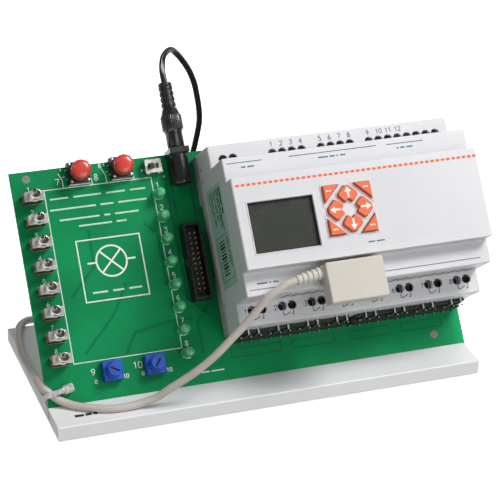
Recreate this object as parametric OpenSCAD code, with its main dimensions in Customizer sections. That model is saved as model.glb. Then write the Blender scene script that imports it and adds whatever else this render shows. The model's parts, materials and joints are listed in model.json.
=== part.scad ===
// Micro PLC training module: a logic-relay PLC on a sloping circuit board with
// input switches, output lamps and two analogue dials, on a flat base plate.
// Origin: under the middle of the object, on the surface it stands on. +Z up, -Y is the front.
// Board parts are drawn in the board's own frame (u across, v up the slope, w out of the
// board), whose zero is the PLC housing's lower left corner on the board's face.

/* [Base plate] */
// Width of the base plate along X
base_w = 215.8; // [200:0.1:240]
// Depth of the base plate along Y
base_d = 102.6; // [95:0.1:130]
// Thickness of the base plate
base_t = 7.5; // [6:0.5:12]
// Height of the rubber feet under the plate
foot_h = 1.0; // [0.5:0.5:3]
// Distance from the plate's front edge to the board slot
front_lip = 19.6; // [15:0.1:25]

/* [Circuit board] */
// Board's lean away from upright, in degrees
lean = 36.9; // [25:0.1:45]
// Left edge of the board in the board frame
board_left = -92.0; // [-100:0.5:-88]
// Right edge of the board in the board frame
board_right = 124.4; // [122:0.1:130]
// Top edge of the board in the board frame
board_top = 94.5; // [93:0.5:100]
// Thickness of the board
board_t = 1.6; // [1.2:0.1:2.4]
// Distance down the slope from the PLC's lower edge to the base plate
board_drop = 20.5; // [18:0.5:26]
// Depth that the board sinks into the slot
slot_depth = 5.5; // [4:0.5:6]

/* [PLC] */
// Width of the PLC housing
plc_w = 126; // [120:1:130]
// Height of the PLC housing
plc_h = 90; // [88:1:92]
// Height of the terminal steps above the board
terminal_z = 29; // [26:0.5:32]
// Height of the label steps above the board
shoulder_z = 48.5; // [44:0.5:50]
// Height of the front panel above the board
panel_z = 56.6; // [54:0.1:60]
// Width of each terminal step
terminal_step = 11.2; // [10:0.1:12]
// Distance from the PLC's edge to the front panel
panel_step = 22.8; // [21:0.1:24]
// Wall thickness of the PLC's covers
wall = 2; // [1.5:0.1:3]
// Spacing of the terminals
terminal_pitch = 5.08; // [5:0.01:5.1]

/* [Controls] */
// Spacing of the toggle switches and of the lamps
channel_pitch = 11.4; // [10:0.1:12.7]
// Number of toggle switches and of lamps
channels = 8; // [4:1:8]
// Height of the toggle's pivot above the board
toggle_pivot = 10.5; // [10:0.1:12]
// Lean of each toggle lever at rest, in degrees
toggle_tilt = 9; // [5:0.5:14]
// How far the keys stand proud of the front panel
key_proud = 2; // [1:0.1:3]

/* [Cords] */
// Diameter of the programming cable
cable_d = 3.8; // [3:0.1:5]
// Width of the flat supply lead
lead_d = 3.2; // [2.5:0.1:4]

/* [Hidden] */
$fn = 48;
fit = 0.05;
base_top = foot_h + base_t;
centre_u = 16.8;
centre_y = -base_d / 2 + front_lip + 0.1;
toggle_u = -83.1;
toggle_top_v = 80.4;
lamp_u = -20.3;
lamp_top_v = 75;
button_u = [-58.6, -37.1];
button_v = 90.2;
slide_at = [-21, 88.8];
dial_u = [-58.9, -37.5];
dial_v = -7.9;
header_at = [-8.6, 38.6];
header_rows = 12;
pin_pitch = 2.54;
jack_u = -8.2;
jack_axis_w = 6;
pad_at = [55.8, 45.3];
lower_row = [for (k = [0:7]) for (s = [0, 1]) 7.4 + 15.3 * k + terminal_pitch * s];
upper_row = [for (k = [0, 1, 5, 6, 7, 8, 10, 11, 12, 13, 15, 16, 17, 18, 19, 20, 21, 22])
  7.2 + terminal_pitch * k];
terminal_v = 7.5;
brace_u = [12, 100];
brace_v = [22, 80];
brace_y = [0, 36];
brace_side = 7;
brace_web = 3;
window = [5.9, 29.8, 32.7, 24.7];
cpu_w = 46;
split_w = 9;
io_top_w = split_w + 2.6;
tie_at = [-82.2, -13.4];
tie_edge = -12.6;
tie_back = -board_t - 1.1;
plug_at = [37.6, 1.3, 48.6];
plug_size = [29.4, 19.8, 10];
relief_turn = 8;
usb_at = [-22, 62, 4.5];
supply_plug_at = [63, 76, 7];

// Route of the programming cable: down past the housing, along the plate's front, round the
// board's left edge, back along the plate's end and down to the coil.
cable_route = [
  [7, -52.5, 69], [2, -53, 68], [-3, -53.5, 65.5], [-7.5, -53.5, 62.5], [-11, -53.5, 58.5],
  [-18.5, -53.5, 50], [-26, -53.5, 42.5], [-34, -53, 34.5], [-43, -51, 26.5], [-54.5, -48, 18],
  [-59.5, -46.5, 14], [-66, -45, 11.5], [-72.5, -45, 10.5], [-81, -44.5, 10.5],
  [-89, -41.5, 10.5], [-96, -37.5, 10.5], [-100.5, -34, 11], [-104.5, -31.5, 12.5],
  [-108, -29.5, 15.5], [-111, -26, 17.5], [-111.5, -20, 17.5], [-111, -14, 15.5],
  [-110.5, -4, 12.5], [-109.5, 6, 11], [-109.5, 17, 10.5], [-108.5, 28, 10.5],
  [-106.5, 39, 10.5], [-103, 49, 10.5], [-96, 57, 8.5], [-86, 60, 4.5], [-75, 59, 2.5],
  [-63, 58, 2], [-52, 58, 2]];
cable_coil_at = [-52, 83];
cable_coil_turns = 2.25;
cable_coil_layers = 4;
cable_coil_inner = 16.5;
cable_tail = [
  [-52, 58, 13.5], [-45, 58, 12.5], [-39, 59.5, 10.5], [-33.5, 61, 7], [-28, 62, 4.5],
  [-22, 62, 4.5]];

// Route of the supply lead: up out of the plug, over in a loop and down behind the board.
lead_route = [
  [-25, 53, 131.5], [-25, 57, 136.5], [-24, 60.5, 140], [-22, 64, 142.5], [-17.5, 68, 143.5],
  [-13, 71, 139.5], [-8.5, 73, 133.5], [-5, 74.5, 127.5], [-2.5, 75, 121], [-1, 75.5, 114.5],
  [0, 75.5, 108.5], [0.5, 75.5, 102], [0, 75.5, 96], [-2.5, 75.5, 84], [-5.5, 75.5, 74],
  [-8, 75.5, 62], [-8.5, 75.5, 50], [-7, 75.5, 38], [-2.5, 75.5, 26], [3, 75.5, 17.5],
  [10, 75.5, 10], [18, 75.5, 5], [27, 75.5, 2], [36, 75.5, 2]];
lead_coil_at = [36, 97];
lead_coil_turns = 3;
lead_coil_layers = 4;
lead_coil_inner = 12;
lead_tail = [[36, 75.5, 11], [43, 75.5, 11], [49.5, 75.5, 9.5], [56, 76, 8], [63, 76, 7]];

// Places children, drawn in the board frame, on the sloping board.
module on_board() {
  translate([-centre_u, centre_y, base_top]) rotate([90 - lean, 0, 0])
    translate([0, board_drop, 0]) children();
}

function unit(p) = p / norm(p);
function tangent(path, i) =
  unit(path[min(i + 1, len(path) - 1)] - path[max(i - 1, 0)]);

// One solid tube swept along a list of points. across is a direction that the route never takes.
module tube(path, d, sides, across) {
  n = len(path);
  side = [for (i = [0:n - 1]) unit(cross(tangent(path, i), across))];
  rings = [for (i = [0:n - 1]) let (t = tangent(path, i), a = side[i], b = cross(a, t))
    for (k = [0:sides - 1]) let (q = 360 * k / sides)
      path[i] + d / 2 * (cos(q) * a + sin(q) * b)];
  skin = [for (i = [0:n - 2]) for (k = [0:sides - 1]) let (m = (k + 1) % sides)
    [i * sides + k, i * sides + m, (i + 1) * sides + m, (i + 1) * sides + k]];
  ends = [[for (k = [sides - 1:-1:0]) k], [for (k = [0:sides - 1]) (n - 1) * sides + k]];
  polyhedron(rings, concat(skin, ends), 4);
}

// Outer solid of a wound coil: its turns fill the section between two radii.
module coil_solid(at, inner, turns, layers, d) {
  translate([at[0], at[1], 0]) rotate_extrude($fn = 64)
    translate([inner - d / 2, 0]) square([turns * d + d, layers * d]);
}

module rounded_box(size, r) {
  linear_extrude(size[2]) translate([r, r]) offset(r = r)
    square([size[0] - 2 * r, size[1] - 2 * r]);
}

module base_plate() {
  color("gainsboro") difference() {
    translate([board_left - 0.4 - centre_u, -base_d / 2, foot_h])
      cube([base_w, base_d, base_t]);
    on_board() translate([board_left - 5, -board_drop - slot_depth - fit, -board_t - fit])
      cube([base_w + 20, slot_depth + 12, board_t + 2 * fit]);
    for (x = [-95, 95]) for (y = [-40, 40])
      translate([x, y, foot_h - 1]) cylinder(d = 12.2, h = 1.6);
    for (u = brace_u) for (y = brace_y) translate([u - centre_u, y, 0]) {
      cylinder(d = 3.3, h = 20);
      cylinder(d = 6.4, h = foot_h + 3);
    }
  }
}

module rubber_feet() {
  color("dimgray") for (x = [-95, 95]) for (y = [-40, 40])
    translate([x, y, 0]) cylinder(d = 12, h = foot_h + 0.6);
}

module circuit_board() {
  color("seagreen") on_board() difference() {
    translate([board_left, -board_drop - slot_depth, -board_t])
      cube([board_right - board_left, board_top + board_drop + slot_depth, board_t]);
    for (u = brace_u) for (v = brace_v) translate([u, v, -3]) cylinder(d = 3.2, h = 6);
    translate([108.8, -14.2, -3]) cylinder(d = 2.6, h = 6);
    translate([-84, 90.7, -3]) cylinder(d = 1.6, h = 6);
    at_tie() translate([-0.3, -1.5, -3]) cube([1.4, 3, 6]);
  }
}

// Side outline of one brace, in a plane across the object: y backward, z up from the plate.
module brace_outline() {
  polygon([[8, 0], [77, 0], [77, 9], [65, 76], [59.2, 76], [6.2, 5.4]]);
}

// Each brace is an upright web beside its line of screws, with a foot and a board flange.
module rear_braces() {
  color("lightgray") for (u = brace_u) difference() {
    union() {
      translate([u + brace_side - centre_u, centre_y, base_top]) rotate([90, 0, -90])
        mirror([1, 0, 0]) linear_extrude(brace_web) brace_outline();
      translate([u - brace_side - centre_u, centre_y + 22, base_top])
        cube([2 * brace_side, 54, 3]);
      on_board() translate([u - 6, 4, -board_t - 4]) cube([12, 82, 4]);
    }
    for (y = brace_y) translate([u - centre_u, y, 0]) cylinder(d = 2.6, h = base_top + 2.6);
    on_board() for (v = brace_v) translate([u, v, -20]) {
      cylinder(d = 3.3, h = 30);
      translate([0, 0, -20]) cylinder(d = 6.6, h = 20 + 20 - board_t - 3);
    }
  }
}

module brace_screws() {
  color("silver") {
    for (u = brace_u) for (y = brace_y) translate([u - centre_u, y, foot_h + 0.6]) {
      cylinder(d = 6, h = 2.3);
      cylinder(d = 2.5, h = base_t + 1.6);
    }
    on_board() for (u = brace_u) for (v = brace_v) translate([u, v, 0]) {
      translate([0, 0, -board_t - 5]) cylinder(d = 6, h = 2);
      translate([0, 0, -board_t - 4]) cylinder(d = 2.9, h = 12);
    }
  }
}

module board_spacers() {
  color("dimgray") difference() {
    on_board() for (u = [-70, 118.6]) translate([u, -7.8, -board_t - 24])
      cylinder(d = 6.8, h = 24);
    translate([-200, -100, base_top - 60]) cube([400, 200, 60]);
  }
}

module each_channel(u, top_v) {
  for (i = [0:channels - 1]) translate([u, top_v - i * channel_pitch, 0]) children();
}

module toggle_housings() {
  color("firebrick") on_board() each_channel(toggle_u, toggle_top_v)
    translate([-4.1, -2.4, 0]) cube([8.2, 4.8, 7.6]);
}

module toggle_frames() {
  color("silver") on_board() each_channel(toggle_u, toggle_top_v) {
    for (x = [-4.6, 4.2]) translate([x, -2.4, 0]) cube([0.4, 4.8, 8]);
    difference() {
      union() {
        translate([-4.6, -2.4, 7.6]) cube([9.2, 4.8, 1]);
        translate([0, 0, 8.6]) cylinder(d = 4.8, h = 5.6);
      }
      translate([0, 0, 7.5]) cylinder(d = 4.1, h = 8);
    }
  }
}

module toggle_lever(i) {
  color("silver") on_board()
    translate([toggle_u, toggle_top_v - (i - 1) * channel_pitch, toggle_pivot])
      rotate([0, -toggle_tilt, 0]) {
        rotate([90, 0, 0]) cylinder(d = 3, h = 2.4, center = true);
        cylinder(d = 1.8, h = 8);
        translate([0, 0, 8]) cylinder(d = 2.5, h = 1.4);
        translate([0, 0, 9.4]) sphere(d = 2.5);
      }
}

module push_button_bases() {
  color("#222222") on_board() for (u = button_u) difference() {
    translate([u - 5.3, button_v - 5.3, 0]) cube([10.6, 10.6, 5]);
    translate([u, button_v, 1]) cylinder(d = 5.1, h = 8);
  }
}

module push_button_cap(k) {
  color("crimson") on_board() translate([button_u[k], button_v, 0]) {
    translate([0, 0, 2]) cylinder(d = 5, h = 5);
    translate([0, 0, 6]) rotate_extrude() {
      square([4.8, 4]);
      translate([0, 4]) intersection() {
        scale([4.8, 3]) circle(1, $fn = 64);
        square([4.8, 3]);
      }
    }
  }
}

module slide_switch_body() {
  color("silver") on_board() translate([slide_at[0], slide_at[1], 0]) difference() {
    translate([-4.2, -3.3, 0]) cube([8.4, 6.6, 4.6]);
    translate([-2.9, -1.7, 2.2]) cube([5.8, 3.4, 1.8]);
    translate([-2.6, -1.3, 2.2]) cube([5.2, 2.6, 4]);
  }
}

module slide_switch_knob() {
  color("#222222") on_board() translate([slide_at[0] - 1.2, slide_at[1], 0]) {
    translate([-1.6, -1.6, 2.3]) cube([3.2, 3.2, 1.6]);
    translate([-1.2, -1.1, 3.8]) cube([2.4, 2.2, 3]);
  }
}

module dial_bodies() {
  color("royalblue") on_board() for (u = dial_u) difference() {
    translate([u - 4.8, dial_v - 4.8, 0]) cube([9.6, 9.6, 5]);
    translate([u, dial_v, 1.5]) cylinder(d = 4.1, h = 8);
  }
}

module dial_knob(k) {
  color("royalblue") on_board() translate([dial_u[k], dial_v, 0]) difference() {
    union() {
      translate([0, 0, 2]) cylinder(d = 4, h = 4);
      translate([0, 0, 5.2]) cylinder(d = 7.6, h = 1.6);
      translate([0, 0, 6.8]) cylinder(d = 6.2, h = 2.2);
    }
    rotate([0, 0, k == 0 ? 57 : -37]) translate([-0.5, -2.4, 8.2]) cube([1, 4.8, 2]);
  }
}

module output_lamps() {
  color("mediumseagreen") on_board() each_channel(lamp_u, lamp_top_v) {
    cylinder(d = 5.8, h = 1.2);
    cylinder(d = 5, h = 5.2);
    translate([0, 0, 5.2]) sphere(d = 5);
  }
}

module box_header() {
  length = header_rows * pin_pitch + 7.6;
  color("#1c1c1c") on_board() translate([header_at[0], header_at[1], 0]) difference() {
    translate([-4.45, -length / 2, 0]) cube([8.9, length, 9]);
    translate([-3.2, -length / 2 + 1.4, 2.4]) cube([6.4, length - 2.8, 8]);
    translate([-5, -2.2, 2.4]) cube([2.5, 4.4, 8]);
  }
}

module header_pins() {
  color("gold") on_board() translate([header_at[0], header_at[1], 0])
    for (s = [-0.5, 0.5]) for (r = [0:header_rows - 1])
      translate([s * pin_pitch - 0.32, (r - (header_rows - 1) / 2) * pin_pitch - 0.32, -3])
        cube([0.64, 0.64, 10.5]);
}

module dc_jack() {
  color("#1c1c1c") on_board() translate([jack_u, 0, 0]) difference() {
    union() {
      translate([-4.6, 80, 0]) cube([9.2, 14.5, jack_axis_w]);
      translate([0, 78, jack_axis_w]) rotate([-90, 0, 0]) cylinder(d = 9.2, h = 16.5);
      translate([-5, 92.5, 0]) cube([10, 3, 11.4]);
    }
    translate([0, 83, jack_axis_w]) rotate([-90, 0, 0]) cylinder(d = 6.1, h = 20);
  }
}

// A strip that carries the board's connections up to the PLC's terminals: a low front row and a
// higher back row against the housing. It is drawn for the lower side; side -1 turns it over.
module strip(from, to, edge, side) {
  for (row = [[1.6, 4, 8.5], [0.1, 1.7, 11.5]])
    translate([from, side > 0 ? edge - row[1] : edge + row[0], 0])
      cube([to - from, row[1] - row[0], row[2]]);
}

module terminal_strips() {
  color("#1c1c1c") on_board() {
    strip(1.5, 59.9, 0, 1);
    strip(63.6, 122, 0, 1);
    strip(4.6, 60.5, plc_h, -1);
    strip(61.2, 121.5, plc_h, -1);
  }
}

// A strip pin: up out of the strip, then over into the PLC's wire entry.
module strip_pin(dir) {
  translate([-0.4, -0.4, 8]) cube([0.8, 0.8, 9.4]);
  translate([-0.4, dir > 0 ? -0.4 : -7.6, 16.6]) cube([0.8, 8, 0.8]);
}

module terminal_pins() {
  color("gold") on_board() {
    for (u = lower_row) translate([u, -2.2, 0]) strip_pin(1);
    for (u = upper_row) translate([u, plc_h + 2.2, 0]) strip_pin(-1);
  }
}

module plc_rear_housing() {
  color("#8a908e") on_board() difference() {
    cube([plc_w, plc_h, split_w]);
    translate([wall, wall, wall + 2.6]) cube([plc_w - 2 * wall, plc_h - 2 * wall, split_w]);
    translate([-1, 30, -1]) cube([plc_w + 2, 36, 4.6]);
    for (u = brace_u) for (v = brace_v) translate([u, v, -1]) cylinder(d = 3, h = 9);
    translate([-1, 48.8, 5.4]) rotate([0, 90, 0]) cylinder(d = 1.6, h = 2);
    translate([57, -1, -1]) cube([12, 32, 4.6]);
  }
}

// Stepped outline of the PLC's front cover, across the terminals; g shrinks it for the inside.
module cover_outline(g) {
  polygon([
    [g, split_w - (g > 0 ? 1 : 0)], [g, terminal_z - g], [terminal_step + g, terminal_z - g],
    [terminal_step + g, shoulder_z - g], [panel_step + g, shoulder_z - g],
    [panel_step + g, panel_z - g], [plc_h - panel_step - g, panel_z - g],
    [plc_h - panel_step - g, shoulder_z - g], [plc_h - terminal_step - g, shoulder_z - g],
    [plc_h - terminal_step - g, terminal_z - g], [plc_h - g, terminal_z - g],
    [plc_h - g, split_w - (g > 0 ? 1 : 0)]]);
}

module across(length) {
  rotate([90, 0, 90]) linear_extrude(length) children();
}

// Flat outline of one arrow key, pointing along +Y, with a notch towards the pad's middle.
module arrow_key_outline(g) {
  offset(delta = g) polygon([[-1.3, 4], [1.3, 4], [4.8, 0.6], [4.8, -0.7], [2.2, -3.7],
    [1.5, -3.7], [0, -2.3], [-1.5, -3.7], [-2.2, -3.7], [-4.8, -0.7], [-4.8, 0.6]]);
}

// Flat outline of one corner key; its square corner points to +X +Y.
module corner_key_outline(g) {
  offset(delta = g) polygon([[4.1, 11.9], [12.1, 11.9], [12.1, 3.9]]);
}

module at_arrow(k) {
  translate([pad_at[0], pad_at[1], 0]) rotate([0, 0, -90 * k]) translate([0, 7.1, 0])
    children();
}

module at_corner(k) {
  translate([pad_at[0], pad_at[1], 0]) rotate([0, 0, -90 * k]) children();
}

module plc_front_cover() {
  color("gainsboro") on_board() difference() {
    across(plc_w) cover_outline(0);
    translate([wall, 0, 0]) across(plc_w - 2 * wall) cover_outline(wall);
    translate([window[0], window[1], panel_z - 4]) cube([window[2], window[3], 8]);
    for (k = [0:3]) {
      at_arrow(k) translate([0, 0, panel_z - 4]) linear_extrude(8) arrow_key_outline(0.2);
      at_corner(k) translate([0, 0, panel_z - 4]) linear_extrude(8) corner_key_outline(0.2);
    }
    for (u = lower_row) translate([u, terminal_v, terminal_z - 4]) cylinder(d = 4.6, h = 8);
    for (u = upper_row) translate([u, plc_h - terminal_v, terminal_z - 4]) cylinder(d = 4.6, h = 8);
    for (u = lower_row) translate([u - 1.6, -1, 15]) cube([3.2, 4, 4]);
    for (u = upper_row) translate([u - 1.6, plc_h - 3, 15]) cube([3.2, 4, 4]);
    translate([44.5, 13.4, shoulder_z - 4]) cube([15, 7.2, 8]);
  }
}

module plc_display_module() {
  color("darkslategray") on_board()
    translate([window[0] - 2, window[1] - 2.5, cpu_w + 1.6])
      cube([window[2] + 4, window[3] + 5, 5]);
}

module plc_display_window() {
  color("#404a40") on_board()
    translate([window[0] - 1.5, window[1] - 1.5, cpu_w + 6.6])
      cube([window[2] + 3, window[3] + 3, 1.9]);
}

module plc_key_mat() {
  color("darkorange") on_board()
    translate([pad_at[0] - 14, pad_at[1] - 13.5, cpu_w + 1.6]) cube([28, 27, 1.6]);
}

// A key is a cap through the cover, with a flange inside that keeps it in. It stands clear of
// the mat by its travel.
module key_body() {
  translate([0, 0, cpu_w + 4]) linear_extrude(panel_z + key_proud - cpu_w - 4) children();
}

module key_flange() {
  translate([0, 0, cpu_w + 4]) linear_extrude(2.5) children();
}

module arrow_key(k) {
  color("coral") on_board() at_arrow(k) {
    key_body() arrow_key_outline(0);
    key_flange() arrow_key_outline(0.6);
  }
}

module corner_key(k) {
  color("coral") on_board() at_corner(k) {
    key_body() corner_key_outline(0);
    key_flange() corner_key_outline(0.6);
  }
}

module plc_cpu_board() {
  color("darkgreen") on_board()
    translate([3.5, panel_step + 3, cpu_w]) cube([plc_w - 7, plc_h - 2 * panel_step - 6, 1.6]);
}

module plc_io_board() {
  color("darkgreen") on_board()
    translate([3, 3, split_w + 1]) cube([plc_w - 6, plc_h - 6, 1.6]);
}

module plc_relays() {
  color("#303030") on_board() for (k = [0:7])
    translate([4.6 + 15.3 * k, 21.5, io_top_w]) cube([10, 20, 12.5]);
}

module plc_power_parts() {
  color("#34507a") on_board() {
    for (u = [12, 26]) translate([u, 60, io_top_w]) cylinder(d = 11, h = 20);
    translate([38, 48, io_top_w]) cube([22, 20, 16]);
    translate([72, 46, io_top_w]) cube([12, 12, 2.4]);
    translate([94, 48, io_top_w]) cube([16, 20, 6]);
    translate([66, 61, io_top_w]) cube([26, 2.5, cpu_w - io_top_w]);
  }
}

module clamp_block(v) {
  translate([-2.1, v - 3.6, io_top_w]) difference() {
    cube([4.2, 7.2, 12.8]);
    translate([1, -1, 3.4]) cube([2.2, 9.2, 4]);
  }
}

module plc_terminal_clamps() {
  color("silver") on_board() {
    for (u = lower_row) translate([u, 0, 0]) clamp_block(terminal_v);
    for (u = upper_row) translate([u, 0, 0]) clamp_block(plc_h - terminal_v);
  }
}

module clamp_screw() {
  cylinder(d = 3.2, h = 1.9);
}

module plc_terminal_screws() {
  color("silver") on_board() {
    for (u = lower_row) translate([u, terminal_v, io_top_w + 12.8]) clamp_screw();
    for (u = upper_row) translate([u, plc_h - terminal_v, io_top_w + 12.8]) clamp_screw();
  }
}

module plc_port_socket() {
  color("#303030") on_board() difference() {
    translate([45, 13.8, io_top_w]) cube([14, 6.4, cpu_w + 1.6 - io_top_w]);
    translate([46.6, 15.2, cpu_w - 6]) cube([10.8, 3.6, 9]);
  }
}

module din_clip() {
  color("darkorange") on_board() {
    translate([57.6, 0.4, 1.2]) cube([10.8, 31, 1.8]);
    translate([57.6, 0.4, 0.4]) cube([10.8, 3, 1.2]);
  }
}

// Places children at the tie, whose strap runs along local -X to the board's left edge.
module at_tie() {
  translate([tie_at[0], tie_at[1], 0]) rotate([0, 0, 12]) children();
}

// A nylon tie that binds the programming cable to the board's left edge.
module cable_tie() {
  color("#c8d0cc") on_board() at_tie() {
    translate([-2.4, -2.1, 0.2]) cube([5.4, 4.2, 4.8]);
    translate([tie_edge, -1.25, 5]) cube([1.2 - tie_edge, 2.5, 1]);
    translate([tie_edge, -1.25, tie_back]) cube([1, 2.5, 6 - tie_back]);
    translate([tie_edge, -1.25, tie_back]) cube([0.9 - tie_edge, 2.5, 1]);
    translate([-0.1, -1.25, tie_back]) cube([1, 2.5, 4]);
  }
}

module programming_plug() {
  color("antiquewhite") on_board() {
    translate(plug_at) rounded_box(plug_size, 1.2);
    translate([47, 15.5, cpu_w - 5.4]) cube([10, 3, 9]);
    translate([plug_at[0] + 0.5, 17.4, 53]) rotate([0, -90, relief_turn]) {
      cylinder(d1 = 6.4, d2 = 4.6, h = 14.6);
      for (k = [0:4]) translate([0, 0, 2 + 2.5 * k]) cylinder(d = 6.4 - 0.25 * k, h = 1.4);
    }
  }
}

module programming_cable() {
  color("#d0c8c0") {
    tube(cable_route, cable_d, 8, [0, 0, 1]);
    tube(cable_tail, cable_d, 8, [0, 0, 1]);
  }
}

module programming_cable_coil() {
  color("#d0c8c0")
    coil_solid(cable_coil_at, cable_coil_inner, cable_coil_turns, cable_coil_layers, cable_d);
}

module usb_connector() {
  color("#d0c8c0") translate(usb_at) rotate([0, 90, 0]) {
    cylinder(d1 = 5, d2 = 6.4, h = 8);
    translate([-4.2, -8.4, 8]) cube([8.4, 16.8, 30]);
    translate([-2.25, -6, 38]) cube([4.5, 12, 15]);
  }
}

module dc_plug() {
  color("#1c1c1c") on_board() translate([jack_u, 0, jack_axis_w]) rotate([-90, 0, 0]) {
    translate([0, 0, 84]) cylinder(d = 5.5, h = 11);
    translate([0, 0, 95.5]) cylinder(d = 8.6, h = 9.5);
    translate([0, 0, 105]) cylinder(d = 10.6, h = 7.4);
    translate([0, 0, 112.4]) cylinder(d1 = 10, d2 = 7, h = 3.4);
    translate([0, 0, 115.8]) cylinder(d1 = 7, d2 = 6.6, h = 13);
  }
}

module supply_lead() {
  color("#1c1c1c") {
    tube(lead_route, lead_d, 8, [0, 1, 0]);
    tube(lead_tail, lead_d, 8, [0, 1, 0]);
  }
}

module supply_lead_coil() {
  color("#1c1c1c")
    coil_solid(lead_coil_at, lead_coil_inner, lead_coil_turns, lead_coil_layers, lead_d);
}

// Twin 4 mm plug for a bench supply.
module twin_supply_plug() {
  color("#1c1c1c") translate(supply_plug_at) rotate([0, 90, 0]) {
    cylinder(d1 = 5, d2 = 7, h = 8);
    translate([-7, -13, 8]) cube([14, 26, 20]);
    for (y = [-9.5, 9.5]) translate([0, y, 28]) cylinder(d = 4, h = 18);
  }
}

base_plate();
rubber_feet();
circuit_board();
rear_braces();
brace_screws();
board_spacers();
toggle_housings();
toggle_frames();
toggle_lever(1);  // toggle_lever_1
toggle_lever(2);  // toggle_lever_2
toggle_lever(3);  // toggle_lever_3
toggle_lever(4);  // toggle_lever_4
toggle_lever(5);  // toggle_lever_5
toggle_lever(6);  // toggle_lever_6
toggle_lever(7);  // toggle_lever_7
toggle_lever(8);  // toggle_lever_8
push_button_bases();
push_button_cap(0);  // push_button_cap_7
push_button_cap(1);  // push_button_cap_8
slide_switch_body();
slide_switch_knob();
dial_bodies();
dial_knob(1);  // dial_knob_a
dial_knob(0);  // dial_knob_b
output_lamps();
box_header();
header_pins();
dc_jack();
terminal_strips();
terminal_pins();
plc_rear_housing();
plc_front_cover();
plc_display_module();
plc_display_window();
plc_key_mat();
arrow_key(0);  // key_up
arrow_key(1);  // key_right
arrow_key(2);  // key_down
arrow_key(3);  // key_left
corner_key(0);  // key_top_right
corner_key(1);  // key_bottom_right
corner_key(2);  // key_bottom_left
corner_key(3);  // key_top_left
plc_cpu_board();
plc_io_board();
plc_relays();
plc_power_parts();
plc_terminal_clamps();
plc_terminal_screws();
plc_port_socket();
din_clip();
cable_tie();
programming_plug();
programming_cable();
programming_cable_coil();
usb_connector();
dc_plug();
supply_lead();
supply_lead_coil();
twin_supply_plug();
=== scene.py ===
"""Looks of a small logic controller on its practice stand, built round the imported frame.

Sizes in the classes are millimetres. Points become metres only when a Place puts them.
The board's own axes are u (to the right), v (up the slope) and w (out of the board).
"""
import json
import logging
import math
from dataclasses import dataclass, field
from enum import Enum
from typing import Optional, Sequence, Union

import bmesh
import bpy
import numpy as np
from mathutils import Matrix, Vector

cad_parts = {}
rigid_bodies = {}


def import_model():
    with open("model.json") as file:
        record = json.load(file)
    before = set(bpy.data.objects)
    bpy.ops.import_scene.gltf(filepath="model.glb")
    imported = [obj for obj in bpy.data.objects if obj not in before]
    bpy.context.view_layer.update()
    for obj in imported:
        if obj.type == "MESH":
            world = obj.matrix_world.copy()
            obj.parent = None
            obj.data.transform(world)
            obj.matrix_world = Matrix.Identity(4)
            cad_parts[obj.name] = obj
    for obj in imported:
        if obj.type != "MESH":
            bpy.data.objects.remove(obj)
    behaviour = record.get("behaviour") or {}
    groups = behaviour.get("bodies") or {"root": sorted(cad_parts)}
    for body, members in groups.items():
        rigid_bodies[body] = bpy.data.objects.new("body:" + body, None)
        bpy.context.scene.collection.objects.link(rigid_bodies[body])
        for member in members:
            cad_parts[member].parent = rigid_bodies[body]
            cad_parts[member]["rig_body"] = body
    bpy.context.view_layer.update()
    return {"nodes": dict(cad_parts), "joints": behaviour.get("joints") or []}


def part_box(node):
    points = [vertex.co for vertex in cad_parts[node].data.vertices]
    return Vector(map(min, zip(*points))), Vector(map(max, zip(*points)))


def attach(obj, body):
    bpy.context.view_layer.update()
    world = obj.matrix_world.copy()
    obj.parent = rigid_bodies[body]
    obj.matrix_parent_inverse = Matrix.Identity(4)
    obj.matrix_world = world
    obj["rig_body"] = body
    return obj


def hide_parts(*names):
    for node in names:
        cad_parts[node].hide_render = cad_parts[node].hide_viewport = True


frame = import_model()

MM = 0.001
MERGE_M = 2e-6          # points of a CAD mesh nearer than this are one
FLAT_DEGREES = 0.8      # faces that turn less than this are one
SENSOR_MM = 36.0
CORD_STEP = 1.2         # distance between the points of a cord's line
BODY = "module_frame"
LOG = logging.getLogger("practice_stand")
Array = np.ndarray
Object = bpy.types.Object
Socket = bpy.types.NodeSocket


def linear(colour: str) -> tuple[float, float, float, float]:
    """Turns a screen colour into linear light.

    Args:
        colour: Six hexadecimal digits after a hash sign.

    Returns:
        Red, green, blue and an alpha of one.
    """
    parts = np.array([int(colour[i:i + 2], 16) for i in (1, 3, 5)]) / 255
    light = np.where(parts <= 0.04045, parts / 12.92, ((parts + 0.055) / 1.055) ** 2.4)
    return (*light.tolist(), 1.0)


# ---------------------------------------------------------------- places


@dataclass(frozen=True)
class Place:
    """A right-handed frame: an origin in metres and three unit axes as rows."""

    origin: tuple[float, float, float] = (0.0, 0.0, 0.0)
    axes: tuple[tuple[float, float, float], ...] = ((1, 0, 0), (0, 1, 0), (0, 0, 1))

    def put(self, points: Union[Array, Sequence]) -> Array:
        """Carries millimetre points into metres: origin + 0.001 * (x * e1 + y * e2 + z * e3)."""
        return np.array(self.origin) + MM * np.asarray(points, float) @ np.array(self.axes)

    def at(self, x: float, y: float, z: float = 0.0) -> "Place":
        """Returns the same frame with its origin moved, in its own millimetres."""
        return Place(tuple(self.put([x, y, z]).tolist()), self.axes)

    def turned(self, degrees: float, about: int = 2) -> "Place":
        """Turns the frame about one of its own axes.

        Args:
            degrees: Angle, anticlockwise when the axis points at the viewer.
            about: Which axis stays, 0 to 2.

        Returns:
            The turned frame.
        """
        one, two = (about + 1) % 3, (about + 2) % 3
        c, s = math.cos(math.radians(degrees)), math.sin(math.radians(degrees))
        rows = np.array(self.axes, float)
        turned = rows.copy()
        turned[one] = c * rows[one] + s * rows[two]
        turned[two] = c * rows[two] - s * rows[one]
        return Place(self.origin, tuple(map(tuple, turned.tolist())))

    def rotation(self) -> tuple[float, float, float]:
        """Returns the frame's turn as Euler angles, for a Mapping node."""
        return tuple(Matrix(self.axes).transposed().to_euler())


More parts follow.
